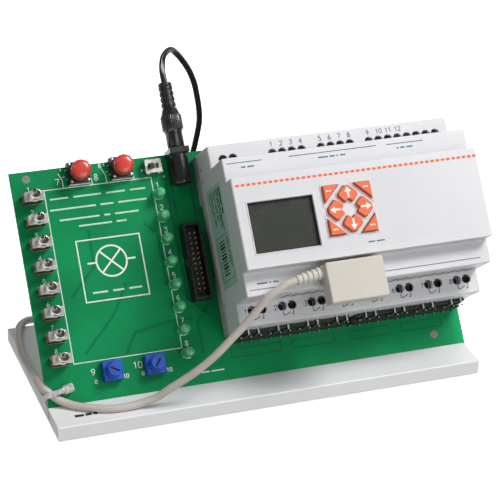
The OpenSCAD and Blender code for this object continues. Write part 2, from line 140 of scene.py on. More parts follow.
def board_place() -> Place:
    """Reads the board's frame from the model: zero is the housing's lower left corner."""
    joints = {joint["name"]: joint for joint in frame["joints"]}
    v = np.array(joints["toggle_1_throw"]["axis"], float)
    w = np.array(joints["dial_a_turn"]["axis"], float)
    v, w = v / np.linalg.norm(v), w / np.linalg.norm(w)
    u = np.cross(v, w)
    points = np.array([p.co for p in frame["nodes"]["plc_rear_housing"].data.vertices])
    along = np.stack([points @ u, points @ v, points @ w], 1).min(0)
    origin = along[0] * u + along[1] * v + along[2] * w
    return Place(tuple(origin.tolist()), tuple(map(tuple, (u.tolist(), v.tolist(), w.tolist()))))


WORLD = Place()
BOARD = board_place()

# Places on the board that more than one part keeps to, in millimetres.
CHANNELS = range(8)
CHANNEL_PITCH = 11.4
TOGGLE_FIRST = (-83.1, 80.4)
LAMP_FIRST = (-20.3, 75.0)
TERMINAL_PITCH = 5.08
LOWER_TERMINALS = tuple(7.4 + 15.3 * k + TERMINAL_PITCH * s for k in CHANNELS for s in (0, 1))
UPPER_TERMINALS = tuple(7.2 + TERMINAL_PITCH * k for k in (
    0, 1, 5, 6, 7, 8, 10, 11, 12, 13, 15, 16, 17, 18, 19, 20, 21, 22))


# ---------------------------------------------------------------- surfaces


@dataclass
class Surface:
    """One or more closed shells: points, four-cornered faces and other faces."""

    points: Array
    quads: Array
    caps: list[list[int]] = field(default_factory=list)

    def moved(self, x: float = 0.0, y: float = 0.0, z: float = 0.0) -> "Surface":
        """Returns the surface shifted by x, y and z."""
        return Surface(self.points + np.array([x, y, z]), self.quads, self.caps)

    def put(self, place: Place) -> "Surface":
        """Returns the surface in metres, as the place lays it."""
        return Surface(place.put(self.points), self.quads, self.caps)


def joined(surfaces: Sequence[Surface]) -> Surface:
    """Puts several surfaces into one, renumbering their faces."""
    points, quads, caps, count = [], [], [], 0
    for surface in surfaces:
        points.append(surface.points)
        if len(surface.quads):
            quads.append(np.asarray(surface.quads) + count)
        caps += [[i + count for i in cap] for cap in surface.caps]
        count += len(surface.points)
    flat = np.concatenate(quads) if quads else np.zeros((0, 4), int)
    return Surface(np.concatenate(points), flat, caps)


def ring_faces(rings: int, sides: int, closed: bool = False) -> Array:
    """Numbers the quads between neighbouring rings of a tube.

    Args:
        rings: How many rings.
        sides: Points in each ring.
        closed: Whether the last ring joins the first.

    Returns:
        Quads (i, k), (i, k+1), (i+1, k+1), (i+1, k), with k counted round the ring.
    """
    i, k = np.meshgrid(np.arange(rings if closed else rings - 1), np.arange(sides), indexing="ij")
    after, beside = (i + 1) % rings, (k + 1) % sides
    quads = [i * sides + k, i * sides + beside, after * sides + beside, after * sides + k]
    return np.stack([q.ravel() for q in quads], 1)


def end_caps(rings: int, sides: int) -> list[list[int]]:
    """The first and last ring as faces that look outwards."""
    last = (rings - 1) * sides
    return [list(range(sides))[::-1], list(range(last, last + sides))]


def turned_points(profile: Sequence[tuple[float, float]], sides: int) -> Array:
    """Points of a profile turned about z: (r cos t, r sin t, h), ring after ring."""
    r, h = np.array(profile, float).T
    t = np.linspace(0, 2 * np.pi, sides, endpoint=False)
    return np.stack([np.outer(r, np.cos(t)), np.outer(r, np.sin(t)),
                     np.repeat(h[:, None], sides, 1)], 2).reshape(-1, 3)


def lathe(profile: Sequence[tuple[float, float]], sides: int = 40) -> Surface:
    """Turns a profile about z: p = (r cos t, r sin t, h), closed flat at both ends.

    Args:
        profile: Radius and height pairs, from the bottom up.
        sides: Steps round the axis.

    Returns:
        The closed solid's surface.
    """
    return Surface(turned_points(profile, sides), ring_faces(len(profile), sides),
                   end_caps(len(profile), sides))


def slab(outline: Sequence[tuple[float, float]], low: float, high: float) -> Surface:
    """Raises a flat anticlockwise outline from low to high."""
    flat = np.array(outline, float)
    n = len(flat)
    points = np.concatenate([np.column_stack([flat, np.full(n, z)]) for z in (low, high)])
    return Surface(points, ring_faces(2, n), end_caps(2, n))


def rounded(width: float, height: float, radius: float, steps: int = 5) -> list:
    """Outline of a rounded rectangle about zero: corner centre + r (cos t, sin t)."""
    t = np.linspace(0, np.pi / 2, steps + 1)
    out = []
    for q, (sx, sy) in enumerate(((1, 1), (-1, 1), (-1, -1), (1, -1))):
        cx, cy = sx * (width / 2 - radius), sy * (height / 2 - radius)
        out += np.stack([cx + radius * np.cos(t + q * np.pi / 2),
                         cy + radius * np.sin(t + q * np.pi / 2)], 1).tolist()
    return out


def corners(x0: float, x1: float, y0: float, y1: float) -> list[tuple[float, float]]:
    """A rectangle's corners, anticlockwise from the lower left."""
    return [(x0, y0), (x1, y0), (x1, y1), (x0, y1)]


def block(x: Sequence[float], y: Sequence[float], z: Sequence[float]) -> Surface:
    """A box between two values on each axis."""
    return slab(corners(*x, *y), *z)


def stroke(line: Sequence, width: float, low: float, high: float, closed: bool = False) -> Surface:
    """A flat ribbon with mitred corners: p +- n w / (2 cos(half turn)), raised to a slab.

    Args:
        line: Corners of the line, in its plane.
        width: Ribbon width.
        low: Height of its underside.
        high: Height of its face.
        closed: Whether the last corner joins the first.

    Returns:
        The ribbon's surface.
    """
    p = np.array(line, float)
    n = len(p)
    ahead = np.roll(p, -1, 0) - p
    if not closed:
        ahead[-1] = ahead[-2]
    ahead = unit(ahead)
    behind = np.roll(ahead, 1, 0)
    if not closed:
        behind[0] = ahead[0]
    normal = np.stack([-ahead[:, 1] - behind[:, 1], ahead[:, 0] + behind[:, 0]], 1)
    size = np.linalg.norm(normal, axis=1)[:, None]
    side = normal / size * width / np.maximum(size, 0.6)
    corners = [np.column_stack([p + s * side, np.full(n, z)])
               for s, z in ((-1, low), (1, low), (1, high), (-1, high))]
    points = np.stack(corners, 1).reshape(-1, 3)
    quads = ring_faces(n, 4, closed)
    caps = [] if closed else end_caps(n, 4)
    return Surface(points, quads, caps)


def swept(path: Array, section: Array, across: Optional[Array] = None,
          closed: bool = False) -> Surface:
    """Carries a section along a path: p(s, k) = c(s) + x_k a(s) + y_k b(s).

    Args:
        path: The centreline's points.
        section: Anticlockwise outline, seen against the direction of travel.
        across: Direction of the section's x axis at each point; left out, the axis is
            carried along with the least turning.
        closed: Whether the path is a loop.

    Returns:
        The tube's closed surface.
    """
    path = np.asarray(path, float)
    if closed:
        along = np.roll(path, -1, 0) - np.roll(path, 1, 0)
    else:
        along = np.gradient(path, axis=0)
    along = unit(along)
    if across is None:
        a = np.zeros_like(path)
        start = np.cross(along[0], [0.3, 0.2, 0.93])
        a[0] = start / np.linalg.norm(start)
        for i in range(1, len(path)):
            side = a[i - 1] - along[i] * (a[i - 1] @ along[i])
            a[i] = side / np.linalg.norm(side)
    else:
        a = unit(across - along * np.sum(across * along, 1)[:, None])
    b = np.cross(along, a)
    rings = (path[:, None] + section[None, :, :1] * a[:, None]
             + section[None, :, 1:] * b[:, None])
    n, sides = len(path), len(section)
    caps = [] if closed else end_caps(n, sides)
    return Surface(rings.reshape(-1, 3), ring_faces(n, sides, closed), caps)


def unit(rows: Array) -> Array:
    """Scales each row to a length of one."""
    return rows / np.linalg.norm(rows, axis=1)[:, None]


def circle(radius: float, sides: int) -> Array:
    """Points of a circle: r (cos t, sin t)."""
    t = np.linspace(0, 2 * np.pi, sides, endpoint=False)
    return radius * np.stack([np.cos(t), np.sin(t)], 1)


def smooth_line(points: Sequence, step: float) -> Array:
    """Passes a Catmull-Rom curve through points and spaces it evenly.

    Between p1 and p2 the curve is
    (2 p1 + (p2 - p0) t + (2 p0 - 5 p1 + 4 p2 - p3) t^2 + (3 p1 - p0 - 3 p2 + p3) t^3) / 2.

    Args:
        points: Points that the line passes through.
        step: Distance between the points given back.

    Returns:
        Evenly spaced points, with both ends kept.
    """
    p = np.asarray(points, float)
    p = np.concatenate([[2 * p[0] - p[1]], p, [2 * p[-1] - p[-2]]])
    t = np.linspace(0, 1, 12, endpoint=False)[None, :, None]
    p0, p1, p2, p3 = (p[i:len(p) - 3 + i][:, None] for i in range(4))
    fine = 0.5 * (2 * p1 + (p2 - p0) * t + (2 * p0 - 5 * p1 + 4 * p2 - p3) * t ** 2
                  + (3 * p1 - p0 - 3 * p2 + p3) * t ** 3)
    fine = np.concatenate([fine.reshape(-1, 3), p[-2:-1]])
    run = np.concatenate([[0], np.cumsum(np.linalg.norm(np.diff(fine, axis=0), axis=1))])
    even = np.linspace(0, run[-1], max(2, int(round(run[-1] / step))) + 1)
    return np.stack([np.interp(even, run, fine[:, i]) for i in range(3)], 1)


# ---------------------------------------------------------------- finishes


class Graph:
    """One material under construction; each method adds nodes and returns a socket."""

    def __init__(self, name: str) -> None:
        """Starts a material that holds a shader and its output."""
        self.material = bpy.data.materials.new(name)
        self.material.use_nodes = True
        self.nodes = self.material.node_tree.nodes
        self.links = self.material.node_tree.links
        self.nodes.clear()
        self.shader = self.nodes.new("ShaderNodeBsdfPrincipled")
        output = self.nodes.new("ShaderNodeOutputMaterial")
        self.links.new(self.shader.outputs[0], output.inputs[0])

    def add(self, kind: str, out: int, sockets: dict, **settings) -> Socket:
        """Adds one node.

        Args:
            kind: The node's type, without its common prefix.
            out: Which output to give back.
            sockets: Values or sockets for its inputs.
            **settings: The node's own options.

        Returns:
            The chosen output.
        """
        node = self.nodes.new("ShaderNode" + kind)
        for key, value in settings.items():
            setattr(node, key, value)
        for key, value in sockets.items():
            self.feed(node.inputs[key], value)
        return node.outputs[out]

    def feed(self, socket: Socket, value: Union[Socket, float, Sequence]) -> None:
        """Links a socket, or sets its constant."""
        if isinstance(value, bpy.types.NodeSocket):
            self.links.new(value, socket)
        else:
            socket.default_value = value

    def set(self, **values: Union[Socket, float, Sequence]) -> None:
        """Feeds the shader's inputs, named with underscores for spaces."""
        for key, value in values.items():
            self.feed(self.shader.inputs[key.replace("_", " ")], value)

    def where(self, place: Place = WORLD, stretch: Sequence[float] = (1, 1, 1)) -> Socket:
        """Object coordinates in metres, along a place's axes and stretched."""
        at = self.add("TexCoord", 3, {})
        if place != WORLD:
            at = self.add("Mapping", 0, {0: at, 1: place.origin, 2: place.rotation()},
                          vector_type="TEXTURE")
        if tuple(stretch) != (1, 1, 1):
            at = self.add("Mapping", 0, {0: at, 3: tuple(stretch)})
        return at

    def noise(self, at: Socket, size: float, detail: float = 2.0) -> Socket:
        """Soft noise whose lumps are about size millimetres across."""
        return self.add("TexNoise", 0, {"Vector": at, "Scale": 1000 / size, "Detail": detail})

    def math(self, how: str, a: Union[Socket, float], b: Union[Socket, float] = 0.0) -> Socket:
        """One sum of two numbers."""
        return self.add("Math", 0, {0: a, 1: b}, operation=how)

    def span(self, value: Socket, low: float, high: float, start: float = 0.3,
             end: float = 0.7) -> Socket:
        """Stretches start..end to low..high."""
        return self.add("MapRange", 0, {0: value, 1: start, 2: end, 3: low, 4: high})

    def mix(self, share: Union[Socket, float], a: Union[Socket, Sequence],
            b: Union[Socket, Sequence]) -> Socket:
        """Blends colour a into colour b by a share from zero to one."""
        return self.add("Mix", 2, {0: share, 6: a, 7: b}, data_type="RGBA")

    def waves(self, at: Socket, pitch: float) -> tuple[list[Socket], Socket]:
        """Sines of a pitch in millimetres along x and y.

        Returns:
            Both sines, and x itself.
        """
        split = self.nodes.new("ShaderNodeSeparateXYZ")
        self.links.new(at, split.inputs[0])
        rows = [self.math("SINE", self.math("MULTIPLY", split.outputs[i],
                                            2 * math.pi / (pitch * MM))) for i in (0, 1)]
        return rows, split.outputs[0]

    def bump(self, height: Socket, depth: float) -> None:
        """Gives the shader a relief of a depth in millimetres."""
        self.set(Normal=self.add("Bump", 0, {"Height": height, "Distance": depth * MM,
                                             "Strength": 1.0}))


class Grain(Enum):
    """How a finish's fine relief runs: lump size, stretch along x, y and z, and detail."""

    SPARKED = (0.45, (1, 1, 1), 2)
    PEBBLED = (1.6, (1, 1, 1), 3)
    BRUSHED = (0.5, (0.04, 1, 1), 2)
    POLISHED = (9.0, (1, 1, 1), 1)
    PRINTED = (0.3, (1, 1, 1), 1)


@dataclass(frozen=True)
class Finish:
    """A finish: clouded colour, fine relief, and sharp edges lightened by a little wear and a
    painted highlight.
    """

    name: str
    colour: str
    roughness: float = 0.45
    grain: Grain = Grain.SPARKED
    relief: float = 0.02
    cloud: float = 0.05
    cloud_size: float = 22.0
    metallic: float = 0.0
    coat: float = 0.0
    ior: float = 1.5
    # edge: how far sharp edges are lightened, for a little wear and a painted highlight
    edge: float = 0.0
    speck: float = 0.0

    def material(self) -> bpy.types.Material:
        """Returns the finish's material, made the first time it is asked for."""
        found = bpy.data.materials.get(self.name)
        if found is None:
            graph = Graph(self.name)
            self.paint(graph)
            found = graph.material
        return found

    def shade(self, amount: float) -> list[float]:
        """The finish's linear colour times an amount."""
        return [min(1.0, c * amount) for c in linear(self.colour)[:3]] + [1.0]

    def base(self, g: Graph) -> Socket:
        """Clouded and specked colour, with sharp edges lightened by a little wear and a painted
        highlight.
        """
        cloud = g.noise(g.where(), self.cloud_size, 3)
        colour = g.mix(g.span(cloud, 0, 1), self.shade(1 - self.cloud), self.shade(1 + self.cloud))
        if self.speck:
            dots = g.span(g.noise(g.where(), 0.7, 0), 0, self.speck, 0.66, 0.72)
            colour = g.mix(dots, colour, self.shade(0.45))
        # a little wear and a painted highlight: convex edges, found by their pointiness, turn
        # lighter
        if self.edge:
            edge_wear_and_highlight = g.span(g.add("NewGeometry", 7, {}), 0, self.edge, 0.52, 0.6)
            colour = g.mix(edge_wear_and_highlight, colour, self.shade(1.7))
        return colour

    def paint(self, g: Graph) -> None:
        """Fills in the material's graph."""
        size, stretch, detail = self.grain.value
        fine = g.noise(g.where(stretch=stretch), size, detail)
        rough = g.span(g.noise(g.where(), 7), self.roughness * 0.85, self.roughness * 1.15)
        g.set(Base_Color=self.base(g), Roughness=rough, Metallic=self.metallic, IOR=self.ior,
              Coat_Weight=self.coat)
        g.bump(fine, self.relief)


@dataclass(frozen=True)
class JacketFinish(Finish):
    """Extruded cable jacket: long faint scuffs over a soft even colour."""

    def paint(self, g: Graph) -> None:
        """Fills in the material's graph."""
        scuff = g.noise(g.where(stretch=(1, 1, 0.3)), 3.0, 4)
        fine = g.noise(g.where(), 0.35, 2)
        grime = g.span(g.noise(g.where(), 14, 3), 0, 0.35, 0.52, 0.7)
        g.set(Base_Color=g.mix(grime, self.base(g), self.shade(0.72)),
              Roughness=g.span(scuff, self.roughness * 0.75, self.roughness * 1.2),
              Specular_IOR_Level=0.45, Sheen_Weight=0.08)
        g.bump(fine, self.relief)


@dataclass(frozen=True)
class BoardFinish(Finish):
    """Glass cloth board under green lacquer, with bare laminate along its edges."""

    weave: float = 0.6
    edge_colour: str = "#5FA873"
    # colour and u range in metres of painted light along the right edge, where light shines
    # through the board
    painted_light_colour: str = "#14B872"
    painted_light_from: tuple[float, float] = (0.1184, 0.1242)

    def paint(self, g: Graph) -> None:
        """Lacquer over a weave sin(2 pi u / pitch) * sin(2 pi v / pitch), darker in pools
        and with painted light along the right edge, where light shines through the board."""
        at = g.where(BOARD)
        rows, u = g.waves(at, self.weave)
        weave = g.math("MULTIPLY", rows[0], rows[1])
        pool = g.span(g.noise(at, 30, 3), 0, 1, 0.35, 0.66)
        lacquer = g.mix(pool, self.shade(0.86), self.shade(1.12))
        lacquer = g.mix(g.span(weave, 0, 0.16, -1, 1), lacquer, self.shade(0.6))
        # painted light: the green turns brighter towards the right edge, for light shining through
        # the board
        lacquer = g.mix(g.span(u, 0, 0.7, *self.painted_light_from), lacquer, linear(self.painted_light_colour))
        facing = g.add("VectorMath", 1, {0: g.add("TexCoord", 1, {}), 1: BOARD.axes[2]},
                       operation="DOT_PRODUCT")
        flat = g.span(g.math("ABSOLUTE", facing), 0, 1, 0.5, 0.9)
        strands = g.noise(g.where(BOARD, (0.1, 0.1, 1)), 0.3, 2)
        laminate = g.mix(g.span(strands, 0, 1), linear(self.edge_colour), self.shade(1.3))
        g.set(Base_Color=g.mix(flat, laminate, lacquer), IOR=self.ior, Coat_Weight=self.coat,
              Specular_IOR_Level=0.12,
              Roughness=g.span(g.noise(at, 5), self.roughness * 0.8, self.roughness * 1.2))
        g.bump(g.math("ADD", g.math("MULTIPLY", weave, 0.25), g.noise(at, 2.5, 2)), self.relief)


@dataclass(frozen=True)
class LensFinish(Finish):
    """Tinted clear plastic, with painted glints in its colour for the reflections inside it."""

    clear: float = 0.6

    def paint(self, g: Graph) -> None:
        """Fills in the material's graph."""
        # painted highlights: cells of lighter and darker colour stand in for glints from facets
        # inside the lens
        painted_glint_cells = g.add("TexVoronoi", 0, {"Vector": g.where(), "Scale": 620.0})
        colour = g.mix(g.span(painted_glint_cells, 0, 1, 0.1, 0.8), self.shade(1.5), self.shade(0.75))
        g.set(Base_Color=colour, Roughness=self.roughness, Transmission_Weight=self.clear,
              IOR=self.ior, Coat_Weight=self.coat)
        g.bump(g.noise(g.where(), 1.5), self.relief)


@dataclass(frozen=True)
class ScreenFinish(Finish):
    """Dark liquid crystal screen: a faint dot grid behind a smooth cover."""

    dot_pitch: float = 0.5

    def paint(self, g: Graph) -> None:
        """Dots: max(sin(2 pi u / p), sin(2 pi v / p)) above 0.8 darkens the gaps."""
        at = g.where(BOARD)
        rows, _ = g.waves(at, self.dot_pitch)
        gap = g.span(g.math("MAXIMUM", rows[0], rows[1]), 0, 0.3, 0.8, 1.0)
        g.set(Base_Color=g.mix(gap, self.base(g), self.shade(0.6)), IOR=self.ior,
              Coat_Weight=self.coat, Roughness=g.span(g.noise(at, 6), 0.12, 0.2))
        g.bump(g.noise(at, 8), self.relief)


@dataclass(frozen=True)
class GlowFinish(Finish):
    """A pale ground that glows a little, so that it stays white away from the lights."""

    glow: float = 0.8

    def paint(self, g: Graph) -> None:
        """Fills in the material's graph."""
        super().paint(g)
        g.set(Emission_Color=linear(self.colour), Emission_Strength=self.glow)


WORN_PAD = Finish("oxidised_pad", "#8A7C76", 0.6, Grain.PEBBLED, 0.02, 0.15, 2.0, metallic=0.3)
# painted shade: screw heads coloured near black for the shade deep in the terminal openings
SCREW_PAINTED_SHADE = Finish("screw_painted_shade", "#161618", 0.4, Grain.BRUSHED, 0.006, 0.2, 2.0,
                   metallic=0.8)
INK = Finish("black_print", "#1E2426", 0.55, Grain.PRINTED, 0.006, 0.08, 3)
FAINT_SILK = Finish("thin_silkscreen", "#BFE0CC", 0.6, Grain.PRINTED, 0.006, 0.12, 2.0)
PLATE = Finish("powder_coated_plate", "#E2E3E5", 0.5, Grain.PEBBLED, 0.012, 0.03, edge=0.3)
HOUSING = Finish("housing_light_grey", "#D6D6D9", 0.42, Grain.SPARKED, 0.014, 0.025, edge=0.25)
HOUSING_REAR = Finish("housing_rear_grey", "#A3A9A7", 0.5, Grain.SPARKED, 0.02, 0.03, edge=0.2)
LACQUER = BoardFinish("green_board", "#008A50", 0.46, relief=0.006)
TRACE = BoardFinish("lacquered_trace", "#00764A", 0.34, relief=0.006, coat=0.08)
BARE_BOARD = BoardFinish("inner_board", "#0B5A34", 0.4, relief=0.02, coat=0.2)
SILK = Finish("silkscreen_white", "#E8ECE8", 0.6, Grain.PRINTED, 0.006, 0.06, 3.0)
TIN = Finish("tinned_pad", "#B9BBB8", 0.32, Grain.POLISHED, 0.02, 0.12, 2.0, metallic=1.0)
SOLDER = Finish("bright_solder", "#C6C8CA", 0.24, Grain.PEBBLED, 0.03, 0.12, 2.0, metallic=1.0)
STEEL = Finish("nickelled_steel", "#C4C1BD", 0.3, Grain.BRUSHED, 0.006, 0.12, 3.0, metallic=1.0,
               edge=0.2)
# painted reflection: chrome darkened to stand in for reflecting dark surroundings
CHROME_PAINTED_DARK = Finish("chrome_painted_dark_reflection", "#6E6862", 0.14, Grain.POLISHED, 0.004, 0.1, 2.0, metallic=1.0)
GOLD = Finish("flashed_gold", "#E8D8A4", 0.4, Grain.BRUSHED, 0.004, 0.1, 2.0, metallic=1.0)
COPPER_LEG = Finish("tarnished_leg", "#A77F72", 0.4, Grain.BRUSHED, 0.006, 0.2, 1.5, metallic=1.0)
BLACK = Finish("black_moulding", "#101012", 0.42, Grain.SPARKED, 0.02, 0.12, 12, edge=0.5)
BLACK_GLOSS = Finish("black_gloss_moulding", "#101013", 0.3, Grain.POLISHED, 0.02, 0.1, 9,
                     coat=0.3, edge=0.4)
BLACK_LEAD = JacketFinish("black_jacket", "#18181B", 0.26, relief=0.008, cloud=0.1)
PALE_JACKET = JacketFinish("pale_grey_jacket", "#C6BDB4", 0.48, relief=0.012, cloud=0.04)
PALE_PLUG = Finish("pale_plug_moulding", "#CCC6BC", 0.45, Grain.SPARKED, 0.02, 0.03, edge=0.15)
# red moulding darkened nearly to black as painted shade on the switches' shaded sides
SWITCH_RED_PAINTED_SHADE = Finish("red_moulding_painted_shade", "#341614", 0.45, Grain.SPARKED, 0.02, 0.1, 5, edge=0.2)
CAP_RED = Finish("red_cap", "#D23A2C", 0.3, Grain.POLISHED, 0.012, 0.05, 6, coat=0.4)
BLUE = Finish("blue_moulding", "#0F4FB4", 0.36, Grain.SPARKED, 0.014, 0.06, 6, edge=0.25)
ORANGE = Finish("orange_rubber", "#E8683A", 0.5, Grain.SPARKED, 0.02, 0.03, 8, edge=0.3)
ARROW = Finish("key_print", "#F4F0E8", 0.55, Grain.PRINTED, 0.006, 0.03, 3)
DASH = Finish("orange_print", "#F06018", 0.5, Grain.PRINTED, 0.006, 0.05, 4)
SLATE = Finish("slate_print", "#3A687E", 0.55, Grain.PRINTED, 0.006, 0.08, 3)
LABEL = Finish("grey_green_label", "#A8CCC0", 0.4, Grain.PRINTED, 0.006, 0.04, 8, coat=0.15)
# painted shade: near black sheets laid in slots, slits and recesses, where only shade falls
OPENING_SHADE = Finish("painted_opening_shade", "#141617", 0.7, Grain.PEBBLED, 0.03, 0.2, 3)
RUBBER = Finish("foot_rubber", "#222326", 0.75, Grain.PEBBLED, 0.05, 0.1, 5, speck=0.3)
BRACE = Finish("painted_brace", "#B4B7BA", 0.5, Grain.PEBBLED, 0.02, 0.04, edge=0.25)
LENS = LensFinish("green_lens", "#5FD08F", 0.12, relief=0.01, coat=0.4, ior=1.5, clear=0.22)
NYLON = LensFinish("natural_nylon", "#DCE2DE", 0.4, relief=0.02, clear=0.45)
SCREEN = ScreenFinish("screen_dark", "#3C3F38", relief=0.004, coat=0.5, cloud=0.04)
# bezel colour, also used for the painted shade bands along the screen's top and right sides
BEZEL_AND_PAINTED_SHADE = Finish("screen_bezel_and_painted_shade", "#1E2022", 0.3, Grain.POLISHED, 0.006, 0.1, 6, coat=0.2)
RELAY = Finish("relay_case", "#2A2C2E", 0.35, Grain.SPARKED, 0.02, 0.1, 8, edge=0.3)
SLEEVE = Finish("capacitor_sleeve", "#2C4A78", 0.3, Grain.POLISHED, 0.01, 0.08, 6, coat=0.3)
FLOOR = GlowFinish("studio_floor", "#FBFBFB", 0.85, Grain.PEBBLED, 0.01, 0.004, 60)


# ---------------------------------------------------------------- pieces


def shown(name: str, mesh: bpy.types.Mesh, finish: Finish) -> Object:
    """Puts a smooth-shaded mesh with a finish into the scene."""
    obj = bpy.data.objects.new(name, mesh)
    bpy.context.scene.collection.objects.link(obj)
    mesh.materials.append(finish.material())
    mesh.polygons.foreach_set("use_smooth", np.ones(len(mesh.polygons), bool))
    return obj


def own_slot(obj: Object, body: str, nodes: Sequence[str]) -> Object:
    """Ties a finished piece to its body and hides the nodes it stands for."""
    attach(obj, body)
    if nodes:
        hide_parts(*nodes)
    return obj


def bevelled(obj: Object, width: float, segments: int = 2, angle: float = 35.0,
             weighted: bool = False) -> None:
    """Rounds a piece's sharp edges by a width in millimetres, keeping its flats flat."""
    bevel = obj.modifiers.new("rounded_edges", "BEVEL")
    bevel.width = width * MM
    bevel.segments = segments
    bevel.use_clamp_overlap = False
    bevel.limit_method = "WEIGHT" if weighted else "ANGLE"
    bevel.angle_limit = math.radians(angle)
    flats = obj.modifiers.new("flat_faces", "WEIGHTED_NORMAL")
    flats.keep_sharp = True
    flats.weight = 80


def build(name: str, surface: Surface, finish: Finish, body: str = BODY,
          nodes: Sequence[str] = (), bevel: float = 0.0, angle: float = 38.0) -> Object:
    """Makes one piece from a surface in metres.

    Args:
        name: The piece's name.
        surface: Its closed shells, in metres.
        finish: Its finish.
        body: The body that it rides on.
        nodes: The nodes of the frame that it stands for.
        bevel: Width of its rounded edges in millimetres, or zero.
        angle: Edges sharper than this stay sharp when there is no bevel.

    Returns:
        The object.
    """
    mesh = bpy.data.meshes.new(name)
    mesh.from_pydata(surface.points.tolist(), [], np.asarray(surface.quads).tolist()
                     + [list(cap) for cap in surface.caps])
    mesh.validate()
    obj = shown(name, mesh, finish)
    if bevel:
        bevelled(obj, bevel)
    else:
        mesh.set_sharp_from_angle(angle=math.radians(angle))
    return own_slot(obj, body, nodes)


def softened(node: str, finish: Finish, width: float, segments: int = 2,
             angle: float = 35.0, long_edges: float = 0.0) -> Object:
    """Stands a merged copy with rounded edges in for a node.

    Args:
        node: The node of the frame.
        finish: Its finish.
        width: Width of the rounding in millimetres.
        segments: Steps across the rounding.
        angle: Only edges sharper than this are rounded.
        long_edges: If set, only edges at least this long, in millimetres, are rounded.

    Returns:
        The object.
    """
    source = frame["nodes"][node]
    shell = bmesh.new()
    shell.from_mesh(source.data)
    bmesh.ops.remove_doubles(shell, verts=shell.verts, dist=MERGE_M)
    bmesh.ops.dissolve_limit(shell, angle_limit=math.radians(FLAT_DEGREES), verts=shell.verts,
                             edges=shell.edges)
    if long_edges:
        layer = shell.edges.layers.float.new("bevel_weight_edge")
        for edge in shell.edges:
            sharp = len(edge.link_faces) == 2 and edge.calc_face_angle() > math.radians(angle)
            edge[layer] = float(sharp and edge.calc_length() >= long_edges * MM)
    mesh = bpy.data.meshes.new(node + "_rounded")
    shell.to_mesh(mesh)
    shell.free()
    obj = shown(node + "_finished", mesh, finish)
    mesh.set_sharp_from_angle(angle=math.radians(60 if width else 32))
    if width:
        bevelled(obj, width, segments, angle, bool(long_edges))
    return own_slot(obj, source["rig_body"], [node])


def dress(node: str, finish: Finish) -> None:
    """Gives a node of the frame a finish in place of its plain colour."""
    obj = frame["nodes"][node]
    material = finish.material()
    if obj.material_slots:
        for held in obj.material_slots:
            held.material = material
    else:
        obj.data.materials.append(material)


# ---------------------------------------------------------------- studio


@dataclass
class Studio:
    """Camera, soft lights and a pale floor."""

    stand_point: tuple[float, float, float] = (-0.3041, -0.8545, 0.5086)
    azimuth: float = 19.74
    elevation: float = 26.25
    roll: float = 1.11
    lens: float = 147.9
    surroundings: float = 0.25
    floor_half: float = 6.0
    lights: tuple = (
        ("key_light", (0.5, -0.3, 0.8), 1.9, 0.6, 0.72),
        ("top_left_light", (-0.7, -0.25, 1.0), 1.6, 0.3, 0.06),
        ("front_fill_light", (0.25, -1.0, 0.3), 2.2, 1.2, 0.27),
        ("rear_fill_light", (0.6, 0.9, 0.55), 2.2, 1.2, 0.15))

    def camera(self) -> Object:
        """Aims the camera along (sin a cos e, cos a cos e, -sin e), then rolls it."""
        data = bpy.data.cameras.new("studio_camera")
        data.lens, data.sensor_width = self.lens, SENSOR_MM
        data.clip_start, data.clip_end = 0.05, 20.0
        obj = bpy.data.objects.new("studio_camera", data)
        bpy.context.scene.collection.objects.link(obj)
        a, e = math.radians(self.azimuth), math.radians(self.elevation)
        ahead = Vector((math.sin(a) * math.cos(e), math.cos(a) * math.cos(e), -math.sin(e)))
        turn = ahead.to_track_quat("-Z", "Y").to_matrix() @ Matrix.Rotation(
            math.radians(self.roll), 3, "Z")
        obj.matrix_world = Matrix.Translation(self.stand_point) @ turn.to_4x4()
        bpy.context.scene.camera = obj
        return obj

    def light(self, name: str, way: Sequence[float], reach: float, size: float,
              brightness: float) -> None:
        """Adds a square soft light aimed at the stand.

        A white card at the stand facing the light shows the brightness, which asks for
        a power of brightness * pi^2 * reach^2.
        """
        data = bpy.data.lights.new(name, "AREA")
        data.size = size
        data.energy = brightness * math.pi ** 2 * reach ** 2
        obj = bpy.data.objects.new(name, data)
        bpy.context.scene.collection.objects.link(obj)
        to = Vector(way).normalized()
        obj.matrix_world = (Matrix.Translation(Vector((0, 0, 0.05)) + to * reach)
                            @ to.to_track_quat("Z", "Y").to_matrix().to_4x4())

    def build(self) -> None:
        """Puts up the camera, the lights, the surroundings and the floor."""
        self.camera()
        scene = bpy.context.scene
        scene.view_settings.view_transform = "Standard"
        world = bpy.data.worlds.new("studio_surroundings")
        world.use_nodes = True
        background = world.node_tree.nodes["Background"].inputs
        background[0].default_value = (1.0, 1.0, 1.0, 1.0)
        background[1].default_value = self.surroundings
        scene.world = world
        for light in self.lights:
            self.light(*light)
        floor = bpy.data.meshes.new("studio_floor")
        half = self.floor_half
        floor.from_pydata([(x, y, -0.0002) for x, y in corners(-half, half, -half, half)], [],
                          [(0, 1, 2, 3)])
        floor.materials.append(FLOOR.material())
        obj = bpy.data.objects.new("studio_floor", floor)
        scene.collection.objects.link(obj)
        obj.visible_diffuse = False


# ---------------------------------------------------------------- cords


